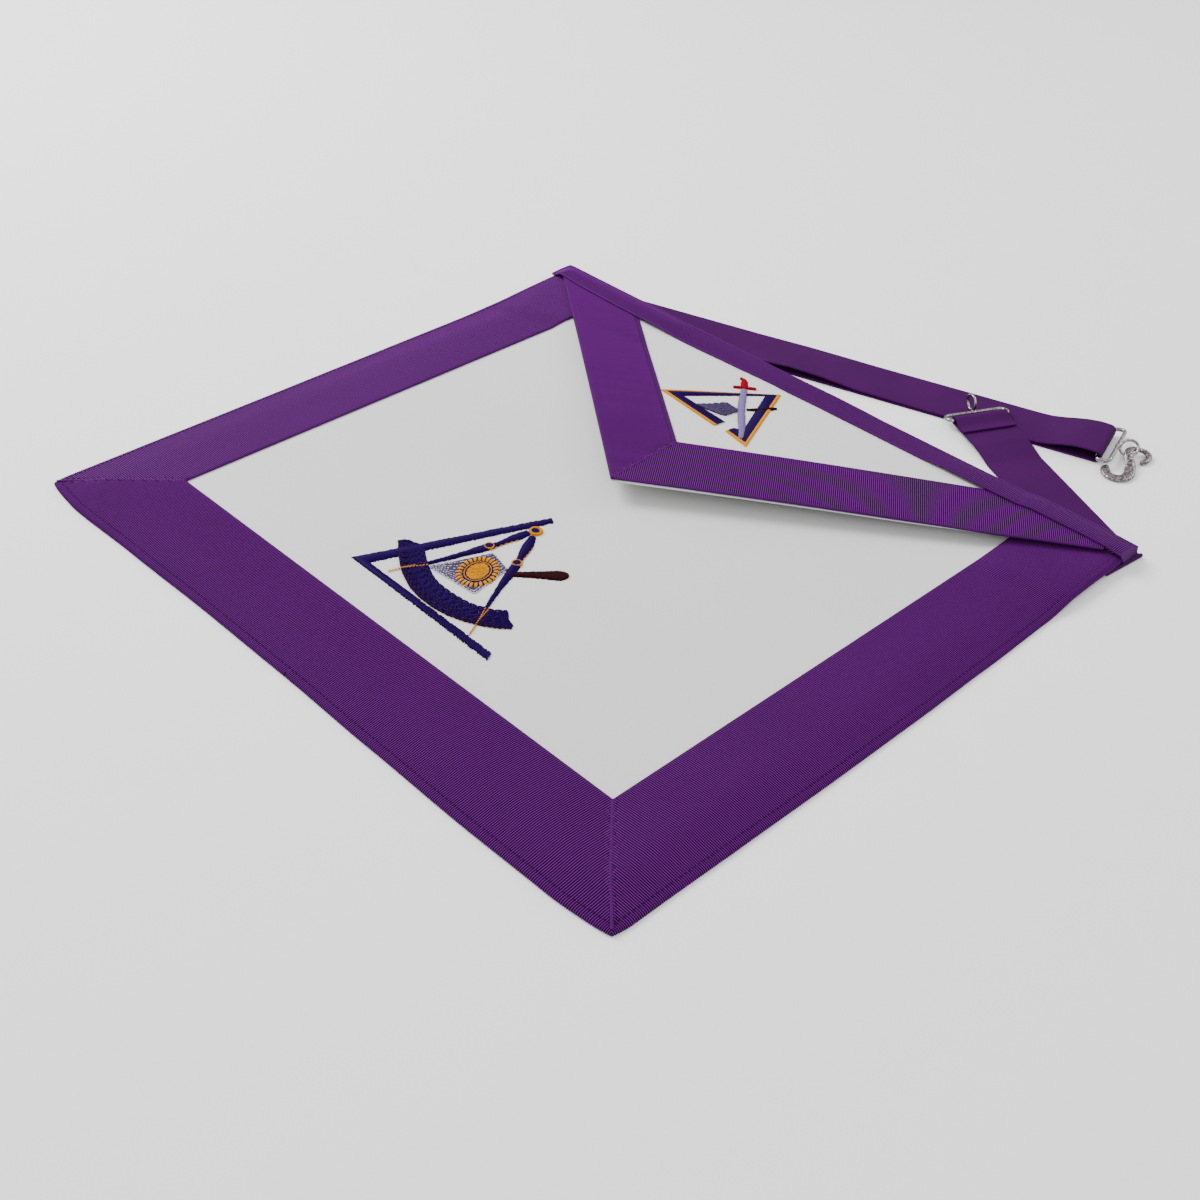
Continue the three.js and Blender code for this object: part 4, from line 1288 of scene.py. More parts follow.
def ring_reach(diameter):
    return diameter / 2 + WIRE / 2 + 0.2 * RING_WIRE


def turned(points, axis, degrees_turned):
    matrix = np.array(Matrix.Rotation(math.radians(degrees_turned), 3, axis))
    return points @ matrix.T


def loop_with_ring(name, run, along, bar_height, outer_height, diameter, place_ring):
    """A wire loop and its ring, soldered together, in its place on a strap."""
    loop = tube(loop_path(), WIRE_SIDES, True, WIRE / 2, WIRE / 2)
    ring = tube(ring_path(diameter), RING_SIDES, True, RING_WIRE / 2, RING_WIRE / 2)
    ring = place_ring(ring) + np.array((LOOP_DEPTH, 0, 0))
    places = [(LOOP_DEPTH, y, 0.0) for y in np.linspace(-0.5, 0.5, len(SLEEVE_RADII)) * SLEEVE_LENGTH]
    sleeve = tube(places, WIRE_SIDES, False, SLEEVE_RADII, SLEEVE_RADII)
    tilt = -math.degrees(math.asin((outer_height - bar_height) / LOOP_DEPTH))
    start = run.at(along, 0, bar_height)
    pieces = []
    for index, (points, closed) in enumerate(((loop, True), (ring, True), (sleeve, False))):
        placed = turned(turned(points, "Y", tilt), "Z", run.angle) + start
        pieces.append(grid_object(f"{name}_{index}", placed, closed_run=closed))
    return fuse(name, pieces)


def fuse(name, pieces):
    """Solders closed meshes into one with soft fillets."""
    made = join(name, pieces)
    remesh = made.modifiers.new("solder", "REMESH")
    remesh.mode = "VOXEL"
    remesh.voxel_size = SOLDER_CELL
    remesh.use_smooth_shade = True
    ease = made.modifiers.new("ease", "SMOOTH")
    ease.factor = 0.5
    ease.iterations = 4
    bpy.context.view_layer.update()
    shown = made.evaluated_get(bpy.context.evaluated_depsgraph_get())
    result = bpy.data.meshes.new_from_object(shown)
    made.modifiers.clear()
    made.data = result
    result.name = name
    return made


# Snake hook: x away from the ring's bar and y along the bar, as shares of its length, lift and width
HOOK_ROWS = (
    (-0.02, -0.50, 0.0, 0.6), (-0.01, -0.61, 0.0, 0.92), (0.05, -0.715, 0.0, 0.97), (0.16, -0.75, 0.0, 1.0),
    (0.275, -0.70, 0.0, 1.03), (0.325, -0.57, 0.05, 1.08), (0.31, -0.44, 0.2, 1.05), (0.275, -0.33, 0.5, 1.0),
    (0.22, -0.22, 0.95, 0.9), (0.19, -0.10, 1.16, 0.78), (0.21, 0.0, 1.05, 0.7), (0.27, 0.09, 0.7, 0.64),
    (0.37, 0.14, 0.36, 0.62), (0.45, 0.11, 0.13, 0.62), (0.47, 0.02, 0.03, 0.6), (0.445, -0.08, 0.0, 0.57),
    (0.40, -0.17, 0.0, 0.45),
)

# The hook's steps and those that round an end, the end's width as a share of the hook's, and the thickness
# as a share of the width where the hook is narrow
HOOK_STEPS = 150
HOOK_END_STEPS = 4
HOOK_END_SHARE = 0.12
HOOK_THICK_SHARE = 1.05
HOOK_BAR_HEIGHT = WEB_LOW + HOOK_FOLD_RADIUS
HOOK_OUTER_HEIGHT = HOOK_BAR_HEIGHT + HOOK_BAR_RISE
HOOK_BAR_ALONG = LONG_LENGTH + HOOK_FOLD_RADIUS - WEBBING / 2 - LAYER_GAP - WIRE / 2


def spline(rows, steps):
    """A smooth line through rows, with more steps."""
    rows = np.asarray(rows, float)
    padded = np.vstack((2 * rows[0] - rows[1], rows, 2 * rows[-1] - rows[-2]))
    places = np.linspace(0, len(rows) - 1, steps)
    first = np.minimum(places.astype(int), len(rows) - 2)
    t = (places - first)[:, None]
    a, b, c, d = (padded[first + index] for index in range(4))
    bend = (2 * a - 5 * b + 4 * c - d) * t ** 2
    twist = (3 * b - a - 3 * c + d) * t ** 3
    return 0.5 * (2 * b + (c - a) * t + bend + twist)


def snake_hook():
    ring_middle = HOOK_OUTER_HEIGHT + HOOK_BAR_RISE * ring_reach(HOOK_RING) / LOOP_DEPTH
    low_side = ring_middle - HOOK_RING / 2 * math.sin(math.radians(HOOK_RING_TILT))
    over_ring = low_side + RING_WIRE / 2 + LAYER_GAP + HOOK_THICKNESS / 2
    low = HOOK_THICKNESS / 2
    rows = spline(HOOK_ROWS, HOOK_STEPS)
    path = rows[:, :3] * HOOK_LENGTH
    path[:, 2] = np.maximum(low, mix(low, over_ring, rows[:, 2]))
    width = HOOK_WIDTH * rows[:, 3]
    tail = np.minimum(np.arange(HOOK_STEPS), np.arange(HOOK_STEPS)[::-1]) / HOOK_END_STEPS
    rounded = np.sqrt(1 - np.clip(1 - tail, 0, 1) ** 2)
    width = width * np.maximum(HOOK_END_SHARE, rounded)
    thick = np.minimum(HOOK_THICKNESS, width * HOOK_THICK_SHARE)
    points = tube(path, HOOK_SIDES, False, width / 2, thick / 2)
    start = LONG_RUN.at(HOOK_BAR_ALONG + LOOP_DEPTH, 0, 0)
    return grid_object("s_hook", turned(points, "Z", LONG_HEADING) + start)


# Seams, and their thread's colour as a share of the ribbon's: the thread is painted darker than the ribbon,
# as painted shade of the sunken stitches
SEAM_PAINTED_SHADE = 0.3


def lifted_line(xs, ys, surface, lift):
    line = waver(with_heights(xs, ys, 0.0))
    line[:, 2] = surface(xs, ys) + lift
    return line


def seam_lines():
    """Stitch lines of the body, flap and binding, a little above what they hold."""
    front = LAYER_GAP + RIBBON
    on_body = front - 0.05
    beside = 2.2
    outer = 3.5
    inner = BODY_RIBBON_WIDTH - 2.0
    top = FLAP_SHOULDER - 2.0
    samples = 120
    lines = []
    for side in (-1, 1):
        for inset in (outer, inner):
            ys = np.linspace(inset + 1.0, top, samples)
            lines.append(lifted_line(np.full(samples, side * (HALF_WIDTH - inset)), ys, body_top, on_body))
        mitre = np.linspace(3.0, BODY_RIBBON_WIDTH - 1.0, 40)
        lines.append(lifted_line(side * (HALF_WIDTH - mitre), mitre + beside, body_top, on_body + 0.15))
    for inset in (outer, inner):
        xs = np.linspace(-HALF_WIDTH + inset + 1.0, HALF_WIDTH - inset - 1.0, samples)
        lines.append(lifted_line(xs, np.full(samples, inset), body_top, on_body))
    for edge in FLAP_EDGES.values():
        for inset in (FLAP_EDGE_SHOWING + 2.0, edge.inner - 2.0):
            start = edge.at_seam(inset, 0.8)
            end = edge.at_height(inset, FLAP_SHOULDER - 1.0)
            xs, ys = edge.point(np.linspace(start, end, samples), inset)
            lines.append(lifted_line(xs, ys, flap_top, on_body))
    tip = FLAP_EDGES["left"]
    insets = np.linspace(FLAP_EDGE_SHOWING + 1.0, tip.inner - 1.0, 30)
    xs, ys = tip.point(tip.at_seam(insets, 1.6), insets)
    lines.append(lifted_line(xs, ys, flap_top, on_body))
    xs = np.linspace(-HALF_WIDTH + 1.0, HALF_WIDTH - 1.0, samples)
    from_top = binding_reach(xs) - 1.8

    def binding_top(x, y):
        return underside(x, y) + binding_front(x, binding_fold(x) - y) + RIBBON

    lines.append(lifted_line(xs, binding_fold(xs) - from_top, binding_top, 0.0))
    return lines


# Embroidery: every stitch is a short arched line between two plan points
class Needle:
    """Collects the stitches of one thread over a surface."""

    def __init__(self, surface, seed):
        self.surface = surface
        self.random = np.random.RandomState(seed)
        self.lines = []

    def stitch(self, start, end, height):
        shares = np.array((0.0, 0.14, 0.5, 0.86, 1.0))
        arch = np.array((-0.25, 0.75, 1.0, 0.75, -0.25)) * height
        xs = mix(start[0], end[0], shares)
        ys = mix(start[1], end[1], shares)
        self.lines.append(with_heights(xs, ys, self.surface(xs, ys) + arch))

    def satin(self, first, second, pitch, height, ragged=0.3):
        """Stitches from one edge line across to another."""
        first, second = paired(first, second, pitch)
        count = len(first)
        across = second - first
        width = np.linalg.norm(across, axis=1, keepdims=True)
        unit = across / np.maximum(width, 0.01)
        loose = self.random.uniform(-ragged, ragged, (count, 2))
        for index in range(count):
            start = first[index] + unit[index] * loose[index, 0]
            end = second[index] + unit[index] * loose[index, 1]
            self.stitch(start, end, height * (0.92 + 0.16 * self.random.rand()))

    def stroke(self, rows, pitch, height, ragged=0.3):
        """Stitches across a line whose rows give its place and width."""
        self.satin(*widened(rows[:, :2], rows[:, 2]), pitch, height, ragged)

    def disc(self, centre, radius, height):
        self.satin(circle(centre, radius, 180, 12), circle(centre, radius, -180, 12), 0.4, height)

    def fill(self, first, second, row_pitch, length, height):
        """Rows of long stitches that follow two edge lines."""
        first, second = paired(first, second, 1.0)
        width = float(np.linalg.norm(second - first, axis=1).max())
        rows = max(2, round(width / row_pitch))
        for row in range(rows):
            share = (row + 0.5) / rows
            line = mix(first, second, share)
            reach = reaches(line)
            place = -self.random.uniform(0, length)
            while place < reach[-1]:
                begin = max(0.0, place)
                end = min(reach[-1], place + length * self.random.uniform(0.85, 1.1))
                start, finish = along_line(line, (begin, end), reach)
                self.stitch(start, finish, height * self.random.uniform(0.85, 1.1))
                place = end + 0.05

    def outline(self, points, length, height, closed=False, cover=0.96):
        """Running stitches along a line, each covering a share of its length."""
        points = np.asarray(points, float)
        if closed:
            points = np.vstack((points, points[:1]))
        line = resample(points, length)
        for start, end in zip(line[:-1], line[1:]):
            self.stitch(start, mix(start, end, cover), height)


def resample(points, pitch):
    points = np.asarray(points, float)
    reach = reaches(points)
    count = max(2, round(reach[-1] / pitch) + 1)
    return along_line(points, np.linspace(0, reach[-1], count), reach)


def paired(first, second, pitch):
    """Two edge lines cut into the same number of places, by the longer one."""
    lines = [np.asarray(line, float) for line in (first, second)]
    lengths = [reaches(line)[-1] for line in lines]
    gaps = max(1, round(max(lengths) / pitch))
    return [resample(line, max(length, 0.01) / gaps) for line, length in zip(lines, lengths)]


def arc(centre, radii, start, end, steps, turn=0.0):
    angles = np.radians(np.linspace(start, end, steps))
    x = radii[0] * np.cos(angles)
    y = radii[1] * np.sin(angles)
    c = math.cos(math.radians(turn))
    s = math.sin(math.radians(turn))
    return np.stack((centre[0] + x * c - y * s, centre[1] + x * s + y * c), axis=1)


def circle(centre, radius, end=360, steps=40):
    return arc(centre, (radius, radius), 0, end, steps)


def widened(line, widths):
    """The two edges of a line that is as wide as widths says at each point."""
    along = np.gradient(line, axis=0)
    along /= np.linalg.norm(along, axis=1, keepdims=True)
    normal = np.stack((-along[:, 1], along[:, 0]), axis=1)
    half = widths[:, None] / 2
    return line + normal * half, line - normal * half


# Body emblem, in plan millimetres
ANGLE_VERTEX = (-47.0, 70.6)
ANGLE_INNER = (-38.1, 74.2)
SLANT_ENDS = ((-9.2, 163.3), (-5.4, 161.4))
BASE_ENDS = ((52.7, 68.2), (50.5, 72.7))
BAND_OUTER = (
    (-42.5, 95.2), (-37.0, 90.6), (-27.4, 84.0), (-21.2, 80.5), (-10.5, 76.2), (-2.0, 74.6), (8.2, 74.4),
    (17.0, 75.6), (25.6, 78.5), (33.6, 82.4), (39.3, 86.4), (43.2, 90.6),
)
BAND_INNER = (
    (-32.0, 102.1), (-25.3, 97.6), (-19.2, 93.9), (-9.9, 89.6), (-2.9, 88.0), (7.2, 87.8), (16.1, 88.9),
    (23.5, 91.2), (27.9, 93.9), (32.1, 97.6),
)
BAND_ENDS = (
    ((-42.9, 95.0), (-42.2, 97.4), (-40.2, 99.6), (-36.8, 99.8), (-34.0, 100.8), (-32.0, 102.3)),
    ((32.1, 97.8), (34.5, 96.8), (36.3, 93.8), (39.3, 93.4), (42.2, 92.7), (43.4, 90.4)),
)
HINGE = (-5.4, 150.0)
HINGE_RADIUS = 3.4
HINGE_HOLE = 2.1
LEG_ROWS = {
    "left": (
        (-7.2, 146.4, 3.6), (-8.0, 140.5, 5.4), (-8.9, 133.5, 3.4), (-9.6, 128.6, 3.0), (-10.8, 124.8, 5.0),
        (-12.2, 119.7, 5.2), (-13.8, 113.6, 3.4), (-16.0, 105.5, 2.6), (-19.4, 94.4, 1.5), (-21.5, 89.4, 0.9),
    ),
    "right": (
        (-2.9, 145.6, 3.0), (0.6, 139.6, 5.4), (4.0, 133.3, 4.4), (6.2, 129.3, 3.0), (8.3, 125.4, 4.2),
        (11.6, 118.9, 4.6), (15.0, 111.2, 3.4), (18.2, 104.6, 2.4), (21.8, 97.6, 1.7), (24.6, 92.2, 1.2),
    ),
}
POINTS_LEFT = ((-20.0, 93.0), (-24.6, 82.4), (-26.7, 75.8))
POINTS_RIGHT = ((24.2, 92.6), (29.6, 83.4), (34.4, 73.6))
CLASPS = ((-10.8, 124.8), (8.3, 125.4))
CLASP_RADIUS = 1.6
CLASP_RING = 2.3

# Steps of a leg that have gold stitches beside them
GOLD_ON_LEG = slice(8, 30)

# Share of the band's length at its first and last tick, and how many there are
TICK_SHARES = (0.1, 0.88, 17)
TICK_REACH = 0.42
SUN = (1.3, 107.2)
SUN_REACH = (12.9, 10.2)
SUN_TURN = 112.0
PETALS = 26
PETAL_FOOT = 0.69
BLADE = ((-17.0, 93.0), (-5.3, 122.7), (8.7, 119.1), (12.9, 95.1))
HANDLE_ROWS = (
    (13.0, 118.2, 3.6), (18.6, 124.2, 4.6), (23.0, 128.9, 6.2), (27.4, 133.4, 8.0), (29.3, 135.3, 7.4),
    (30.8, 136.8, 4.6), (31.3, 137.3, 1.6),
)


def thread_needles(surface, first_seed, keys):
    return {key: Needle(surface, seed) for seed, key in enumerate(keys, first_seed)}


def body_emblem():
    """Stitches of the body emblem, from the lowest thread to the highest."""
    low, middle, high = 0.45, 0.75, 1.05
    needles = thread_needles(body_top, 11, ("indigo", "gold", "slate", "pale", "brown"))
    indigo, gold, slate, pale, brown = needles.values()
    blade_left = (BLADE[0], BLADE[1])
    blade_right = (BLADE[0], BLADE[3], BLADE[2])
    slate.fill(blade_left, blade_right, row_pitch=0.44, length=3.0, height=low)
    pale.fill(blade_left, blade_right, row_pitch=3.4, length=1.4, height=low * 1.1)
    pale.outline(BLADE, length=2.2, height=low, closed=True)
    within = mix(np.array(BLADE), np.array(SUN), 0.05)
    slate.outline(within, length=2.0, height=low, closed=True)
    for ends in (SLANT_ENDS, BASE_ENDS):
        indigo.satin((ANGLE_VERTEX, ends[0]), (ANGLE_INNER, ends[1]), pitch=0.48, height=middle, ragged=0.5)
    indigo.fill(BAND_OUTER, BAND_INNER, row_pitch=0.5, length=4.2, height=middle)
    for end in BAND_ENDS:
        indigo.satin((end[0], end[-1]), end, pitch=0.5, height=middle)
    brown.outline(BAND_OUTER, length=2.4, height=middle)
    for share in np.linspace(*TICK_SHARES):
        tick(brown, share, middle)
    brown.stroke(np.array(HANDLE_ROWS), pitch=0.45, height=middle)
    for rows in LEG_ROWS.values():
        leg = spline(rows, 60)
        indigo.stroke(leg, pitch=0.45, height=high)
        beside = widened(leg[:, :2], leg[:, 2] + 0.4)[0]
        gold.outline(beside[GOLD_ON_LEG], length=3.0, height=low, cover=0.5)
    for points in (POINTS_LEFT, POINTS_RIGHT):
        gold.outline(points, length=1.5, height=high * 0.9, cover=0.6)
        beside = np.array(points[0]) + np.array((1.9, 0.3))
        gold.outline((beside, points[1]), length=1.5, height=high * 0.9, cover=0.6)
    sun_threads(gold, indigo, high)
    rims = circle(HINGE, HINGE_RADIUS), circle(HINGE, HINGE_HOLE)
    gold.satin(*rims, pitch=0.55, height=high * 1.15, ragged=0.1)
    indigo.disc(HINGE, HINGE_HOLE, high)
    for place in CLASPS:
        indigo.disc(place, CLASP_RADIUS, high * 1.1)
        gold.outline(circle(place, CLASP_RING, steps=24), length=0.9, height=high * 1.2)
    return needles


def tick(needle, share, height):
    """A short mark from the band's outer edge toward its inner one."""
    outer, inner = (resample(line, 0.5) for line in (BAND_OUTER, BAND_INNER))
    start = outer[int(share * (len(outer) - 1))]
    end = inner[int(share * (len(inner) - 1))]
    needle.stitch(start, mix(start, end, TICK_REACH), height * 1.35)


def oval(share, start, end, steps=48):
    return arc(SUN, (SUN_REACH[0] * share, SUN_REACH[1] * share), start, end, steps, SUN_TURN)


def oval_point(share, angle):
    return oval(share, angle, angle, 1)[0]


def sun_threads(gold, indigo, high):
    """Disc, two rings and petals, each with its own stitches."""
    gold.fill(oval(0.5, 180, 360), oval(0.5, 180, 0), row_pitch=0.62, length=3.0, height=high)
    indigo.outline(oval(0.54, 0, 360), length=1.3, height=high)
    gold.outline(oval(0.595, 0, 360), length=1.4, height=high)
    indigo.outline(oval(0.645, 0, 360), length=1.3, height=high)
    for petal in range(PETALS):
        turn = 360 * petal / PETALS
        for spread in (-3.0, -1.0, 1.0, 3.0):
            tip = 1 - abs(spread) * 0.018
            gold.stitch(oval_point(PETAL_FOOT, turn + spread), oval_point(tip, turn + spread), high * 0.95)
        gap = turn + 180 / PETALS
        indigo.stitch(oval_point(PETAL_FOOT, gap), oval_point(0.95, gap), high * 1.05)


# Flap emblem, in plan millimetres; a corner of the triangle or an end of its base has two points, the outer
# one and the inner one
CORNERS = (((-52.8, 285.2), (-40.8, 290.2)), ((-10.0, 335.3), (-14.9, 328.4)), ((17.3, 275.9), (4.3, 288.7)))
BASE_LEFT = ((-8.3, 279.3), (-7.6, 287.2))
BASE_RIGHT = ((0.1, 279.6), (0.6, 286.0))
SWORD_BLADE = (
    (-25.6, 322.5, 3.6), (-12.2, 305.4, 4.0), (2.9, 288.8, 3.6), (8.4, 282.1, 2.8), (10.2, 279.7, 1.6),
)
GUARD = ((-31.9, 321.1, 1.9), (-23.0, 329.4, 1.9))
GRIP_ROWS = ((-28.0, 325.5, 3.6), (-31.2, 329.3, 4.0), (-33.2, 331.7, 3.0), (-36.7, 332.5, 1.2))
TROWEL = ((-29.4, 288.0), (-21.0, 303.7), (-11.0, 302.4), (-11.7, 291.4))
TROWEL_HANDLE = (
    (-9.2, 306.7, 1.2), (-6.7, 310.8, 2.0), (-3.9, 315.6, 2.2), (-1.8, 319.8, 2.0), (-0.8, 321.2, 1.0),
)

# Share of the triangle's border that is gold
GOLD_SHARE = 0.22


def border_points(ends):
    """The outer end of a border, where its two threads meet, and its inner end."""
    outer, inner = np.array(ends)
    return outer, mix(outer, inner, GOLD_SHARE), inner


def flap_emblem():
    """Stitches of the flap emblem, from the lowest thread to the highest."""
    middle, high = 0.65, 0.95
    needles = thread_needles(flap_top, 31, ("indigo", "gold", "slate", "lavender", "brown", "red"))
    indigo, gold, slate, lavender, brown, red = needles.values()
    left, top, right, base_left, base_right = map(border_points, (*CORNERS, BASE_LEFT, BASE_RIGHT))
    for ends in ((left, top), (top, right), (left, base_left), (right, base_right)):
        outside, between, inside = zip(*ends)
        gold.satin(outside, between, pitch=0.5, height=middle, ragged=0.12)
        indigo.satin(between, inside, pitch=0.5, height=middle, ragged=0.2)
    trowel_right = (TROWEL[0], TROWEL[3], TROWEL[2])
    slate.fill(TROWEL[:2], trowel_right, row_pitch=0.5, length=3.6, height=high)
    brown.stroke(spline(TROWEL_HANDLE, 30), pitch=0.45, height=high)
    lavender.stroke(spline(SWORD_BLADE, 50), pitch=0.48, height=high * 1.25, ragged=0.2)
    red.stroke(spline(GRIP_ROWS, 30), pitch=0.45, height=high)
    red.stroke(resample(GUARD, 0.6), pitch=0.45, height=high * 1.2)
    return needles


# Stage, in metres
CAMERA_PLACE = (0.480548, -0.300579, 0.467686)
CAMERA_YAW = 134.347
CAMERA_PITCH = 37.247
CAMERA_ROLL = 2.632
LENS = 50.0
SENSOR = 36.0

# Each light's place, what it points at, its diameter and its watts
LIGHTS = {
    "key_light": ((-1.15, -0.15, 1.1), (0, 0, 0), 0.9, 32.0),
    "fill_light": ((1.0, -1.2, 1.2), (0, 0, 0), 1.4, 8.0),
    "rim_light": ((0.6, 1.5, 0.8), (0, 0.1, 0), 1.0, 9.0),
}

# Strength of the sky at its foot, and how much it gains toward its top
SKY_LOW = 0.27
SKY_GAIN = 0.85

# The floor: half its side, and how far it lies under the part
FLOOR_HALF = 6.0
FLOOR_SINK = 0.00005


def make_camera():
    data = bpy.data.cameras.new("camera")
    data.lens = LENS
    data.sensor_width = SENSOR
    data.clip_start = 0.01
    data.clip_end = 50.0
    camera = new_object("camera", data)
    yaw, pitch, roll = (math.radians(angle) for angle in (CAMERA_YAW, CAMERA_PITCH, CAMERA_ROLL))
    forward = Vector((math.cos(pitch) * math.cos(yaw), math.cos(pitch) * math.sin(yaw), -math.sin(pitch)))
    level = forward.cross(Vector((0, 0, 1))).normalized()
    upright = level.cross(forward)
    right = level * math.cos(roll) + upright * math.sin(roll)
    up = upright * math.cos(roll) - level * math.sin(roll)
    matrix = Matrix((right, up, -forward)).transposed().to_4x4()
    matrix.translation = Vector(CAMERA_PLACE) + Vector((PLAN_X, PLAN_Y, 0))
    camera.matrix_world = matrix
    bpy.context.scene.camera = camera


def area_light(name, place, aim, size, power):
    data = bpy.data.lights.new(name, "AREA")
    data.shape = "DISK"
    data.size = size
    data.energy = power
    light = new_object(name, data)
    light.location = place
    light.rotation_mode = "QUATERNION"
    light.rotation_quaternion = (Vector(aim) - Vector(place)).to_track_quat("-Z", "Y")


def make_floor():
    mesh = bpy.data.meshes.new("floor")
    corners = [(x * FLOOR_HALF, y * FLOOR_HALF, -FLOOR_SINK) for x, y in ((-1, -1), (1, -1), (1, 1), (-1, 1))]
    mesh.from_pydata(corners, [], [(0, 1, 2, 3)])
    floor = new_object("floor", mesh)
    finish = Finish("pale_floor", {"Specular IOR Level": 0.1})
    grain = finish.noise(scale=40.0, detail=2.0)
    colour = finish.blend(grain, (0.90, 0.90, 0.90), (0.92, 0.92, 0.92))
    dress(floor, finish.finish(colour, 0.9, grain, distance=0.00001, strength=0.1))


def make_world():
    world = bpy.data.worlds.new("studio")
    world.use_nodes = True
    nodes = Nodes(world.node_tree)
    view = nodes.field("ShaderNodeTexCoord", output="Generated")
    height = nodes.field("ShaderNodeSeparateXYZ", {"Vector": view}, "Z")
    background = world.node_tree.nodes["Background"]
    background.inputs["Color"].default_value = (1.0, 1.0, 1.0, 1.0)
    nodes.put(background.inputs["Strength"], height.ramp(-0.05, 0.6) * SKY_GAIN + SKY_LOW)
    bpy.context.scene.world = world


# Operators
class ApronOperator:
    """What the apron's operators share."""

    bl_options = {"REGISTER", "UNDO"}


class APRON_OT_stage(ApronOperator, bpy.types.Operator):
    """Makes the camera, lights and floor"""

    bl_idname = "apron.stage"
    bl_label = "Stage"

    def execute(self, context):
        make_camera()
        make_world()
        make_floor()
        for name, settings in LIGHTS.items():
            area_light(name, *settings)
        return {"FINISHED"}


class APRON_OT_leather(ApronOperator, bpy.types.Operator):
    """Makes the white leather body and flap"""

    bl_idname = "apron.leather"
    bl_label = "Leather body and flap"

    def execute(self, context):
        material = material_for("lambskin", lambskin, context.scene.apron_colours)
        for piece, node in ((apron_panel(), "apron_panel"), (flap_panel(), "flap_panel")):
            dress(piece, material)
            keep(piece, "white_leather", node)
        return {"FINISHED"}


class APRON_OT_ribbons(ApronOperator, bpy.types.Operator):
    """Makes the ribbed ribbons of the body and the flap"""

    bl_idname = "apron.ribbons"
    bl_label = "Ribbed ribbons"

    def execute(self, context):
        body_ribbons(context)
        for word in FLAP_EDGES:
            flap_ribbon(context, word)
        mitre_ridges(context)
        return {"FINISHED"}


class APRON_OT_binding(ApronOperator, bpy.types.Operator):
    """Makes the binding that is folded over the top edge"""

    bl_idname = "apron.binding"
    bl_label = "Top binding"

    def execute(self, context):
        binding_object(context)
        return {"FINISHED"}


class APRON_OT_straps(ApronOperator, bpy.types.Operator):
    """Makes the long and the short webbing strap"""

    bl_idname = "apron.straps"
    bl_label = "Webbing straps"

    def execute(self, context):
        material = material_for("plain_webbing", plain_webbing, context.scene.apron_colours)
        for name, stations, node in (
            ("waist_strap", long_stations(), "long_strap"),
            ("eye_strap", short_stations(), "short_strap"),
        ):
            piece, length = strap_object(name, stations)
            dress(piece, material)
            keep(piece, "purple_webbing", node)
        return {"FINISHED"}


class APRON_OT_fittings(ApronOperator, bpy.types.Operator):
    """Makes the two wire loops with their rings and the snake hook"""

    bl_idname = "apron.fittings"
    bl_label = "Nickel fittings"

    def execute(self, context):
        plain = material_for("nickel_plate", nickel)
        scaled = material_for("scaled_nickel", nickel, True)

        def eye_ring(points):
            standing = turned(points, "X", 90) + np.array((ring_reach(EYE_RING), 0, 0))
            return turned(standing, "Y", -EYE_RING_LEAN)

        def hook_ring(points):
            return turned(points, "X", HOOK_RING_TILT) + np.array((ring_reach(HOOK_RING), 0, 0))

        eye = loop_with_ring(
            "eye_loop_wire", SHORT_RUN, SHORT_LENGTH, EYE_BAR_HEIGHT, DOUBLED_STRAP + WIRE / 2,
            EYE_RING, eye_ring,
        )
        hook = loop_with_ring(
            "hook_loop_wire", LONG_RUN, HOOK_BAR_ALONG, HOOK_BAR_HEIGHT, HOOK_OUTER_HEIGHT,
            HOOK_RING, hook_ring,
        )
        snake = snake_hook()
        for piece, node, material in (
            (eye, "eye_loop", plain), (hook, "hook_loop", plain), (snake, "snake_hook", scaled),
        ):
            dress(piece, material)
            keep(piece, "nickel", node)
        return {"FINISHED"}


class APRON_OT_seams(ApronOperator, bpy.types.Operator):
    """Sews the seams of the ribbons and the binding"""

    bl_idname = "apron.seams"
    bl_label = "Seams"

    def execute(self, context):
        sizes = context.scene.apron_sizes
        # The seam thread is painted dark: painted shade of the sunken stitches.
        colour = shade(context.scene.apron_colours.ribbon, SEAM_PAINTED_SHADE)
        material = material_for("seam_thread", thread_finish, "seam_thread", colour)
        seams = stitches("ribbon_seams", seam_lines(), material, sizes.stitch_pitch)
        keep(seams, "purple_ribbon")
        return {"FINISHED"}


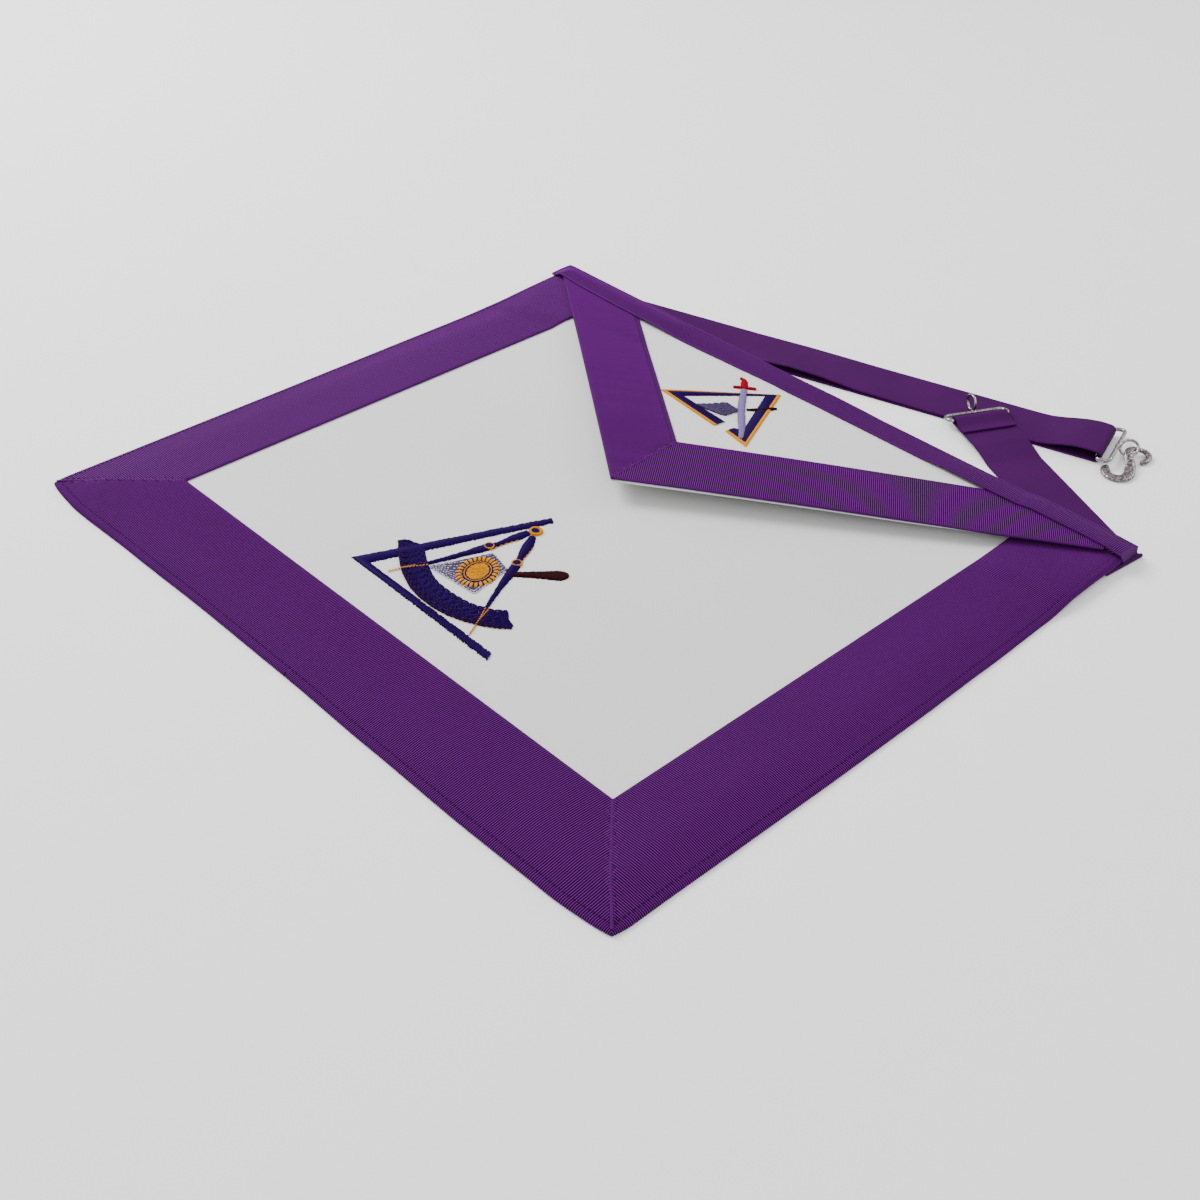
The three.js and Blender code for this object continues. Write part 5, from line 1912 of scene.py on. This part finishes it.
class APRON_OT_body_emblem(ApronOperator, bpy.types.Operator):
    """Embroiders the emblem on the body"""

    bl_idname = "apron.body_emblem"
    bl_label = "Body emblem"

    def execute(self, context):
        embroider(context, "body_emblem", body_emblem())
        return {"FINISHED"}


class APRON_OT_flap_emblem(ApronOperator, bpy.types.Operator):
    """Embroiders the emblem on the flap"""

    bl_idname = "apron.flap_emblem"
    bl_label = "Flap emblem"

    def execute(self, context):
        embroider(context, "flap_emblem", flap_emblem())
        return {"FINISHED"}


class APRON_OT_declare(ApronOperator, bpy.types.Operator):
    bl_idname = "apron.declare"
    bl_label = "Declare sheets"

    def execute(self, context):
        return {"FINISHED"}


def embroider(context, name, needles):
    thickness = context.scene.apron_sizes.thread
    for key, needle in needles.items():
        material = thread_material(context, key)
        piece = threads(f"{name}_{key}", needle.lines, material, thickness)
        keep(piece, "purple_ribbon")


class APRON_PT_panel(bpy.types.Panel):
    """Sizes, colours and steps of the apron"""

    bl_idname = "APRON_PT_panel"
    bl_label = "Masonic apron"
    bl_space_type = "VIEW_3D"
    bl_region_type = "UI"
    bl_category = "Apron"

    def draw(self, context):
        column = self.layout.column()
        for group in (context.scene.apron_sizes, context.scene.apron_colours):
            for name in group.__annotations__:
                column.prop(group, name)
        for step in STEPS:
            column.operator(step.bl_idname)


STEPS = (
    APRON_OT_stage,
    APRON_OT_leather,
    APRON_OT_ribbons,
    APRON_OT_binding,
    APRON_OT_straps,
    APRON_OT_fittings,
    APRON_OT_seams,
    APRON_OT_body_emblem,
    APRON_OT_flap_emblem,
    APRON_OT_declare,
)
CLASSES = (ApronSizes, ApronColours, *STEPS, APRON_PT_panel)


def register():
    for kind in CLASSES:
        bpy.utils.register_class(kind)
    bpy.types.Scene.apron_sizes = bpy.props.PointerProperty(type=ApronSizes)
    bpy.types.Scene.apron_colours = bpy.props.PointerProperty(type=ApronColours)


def unregister():
    del bpy.types.Scene.apron_colours
    del bpy.types.Scene.apron_sizes
    for kind in reversed(CLASSES):
        bpy.utils.unregister_class(kind)


def main():
    register()
    for step in STEPS:
        group, name = step.bl_idname.split(".")
        getattr(getattr(bpy.ops, group), name)()


if __name__ == "__main__":
    main()
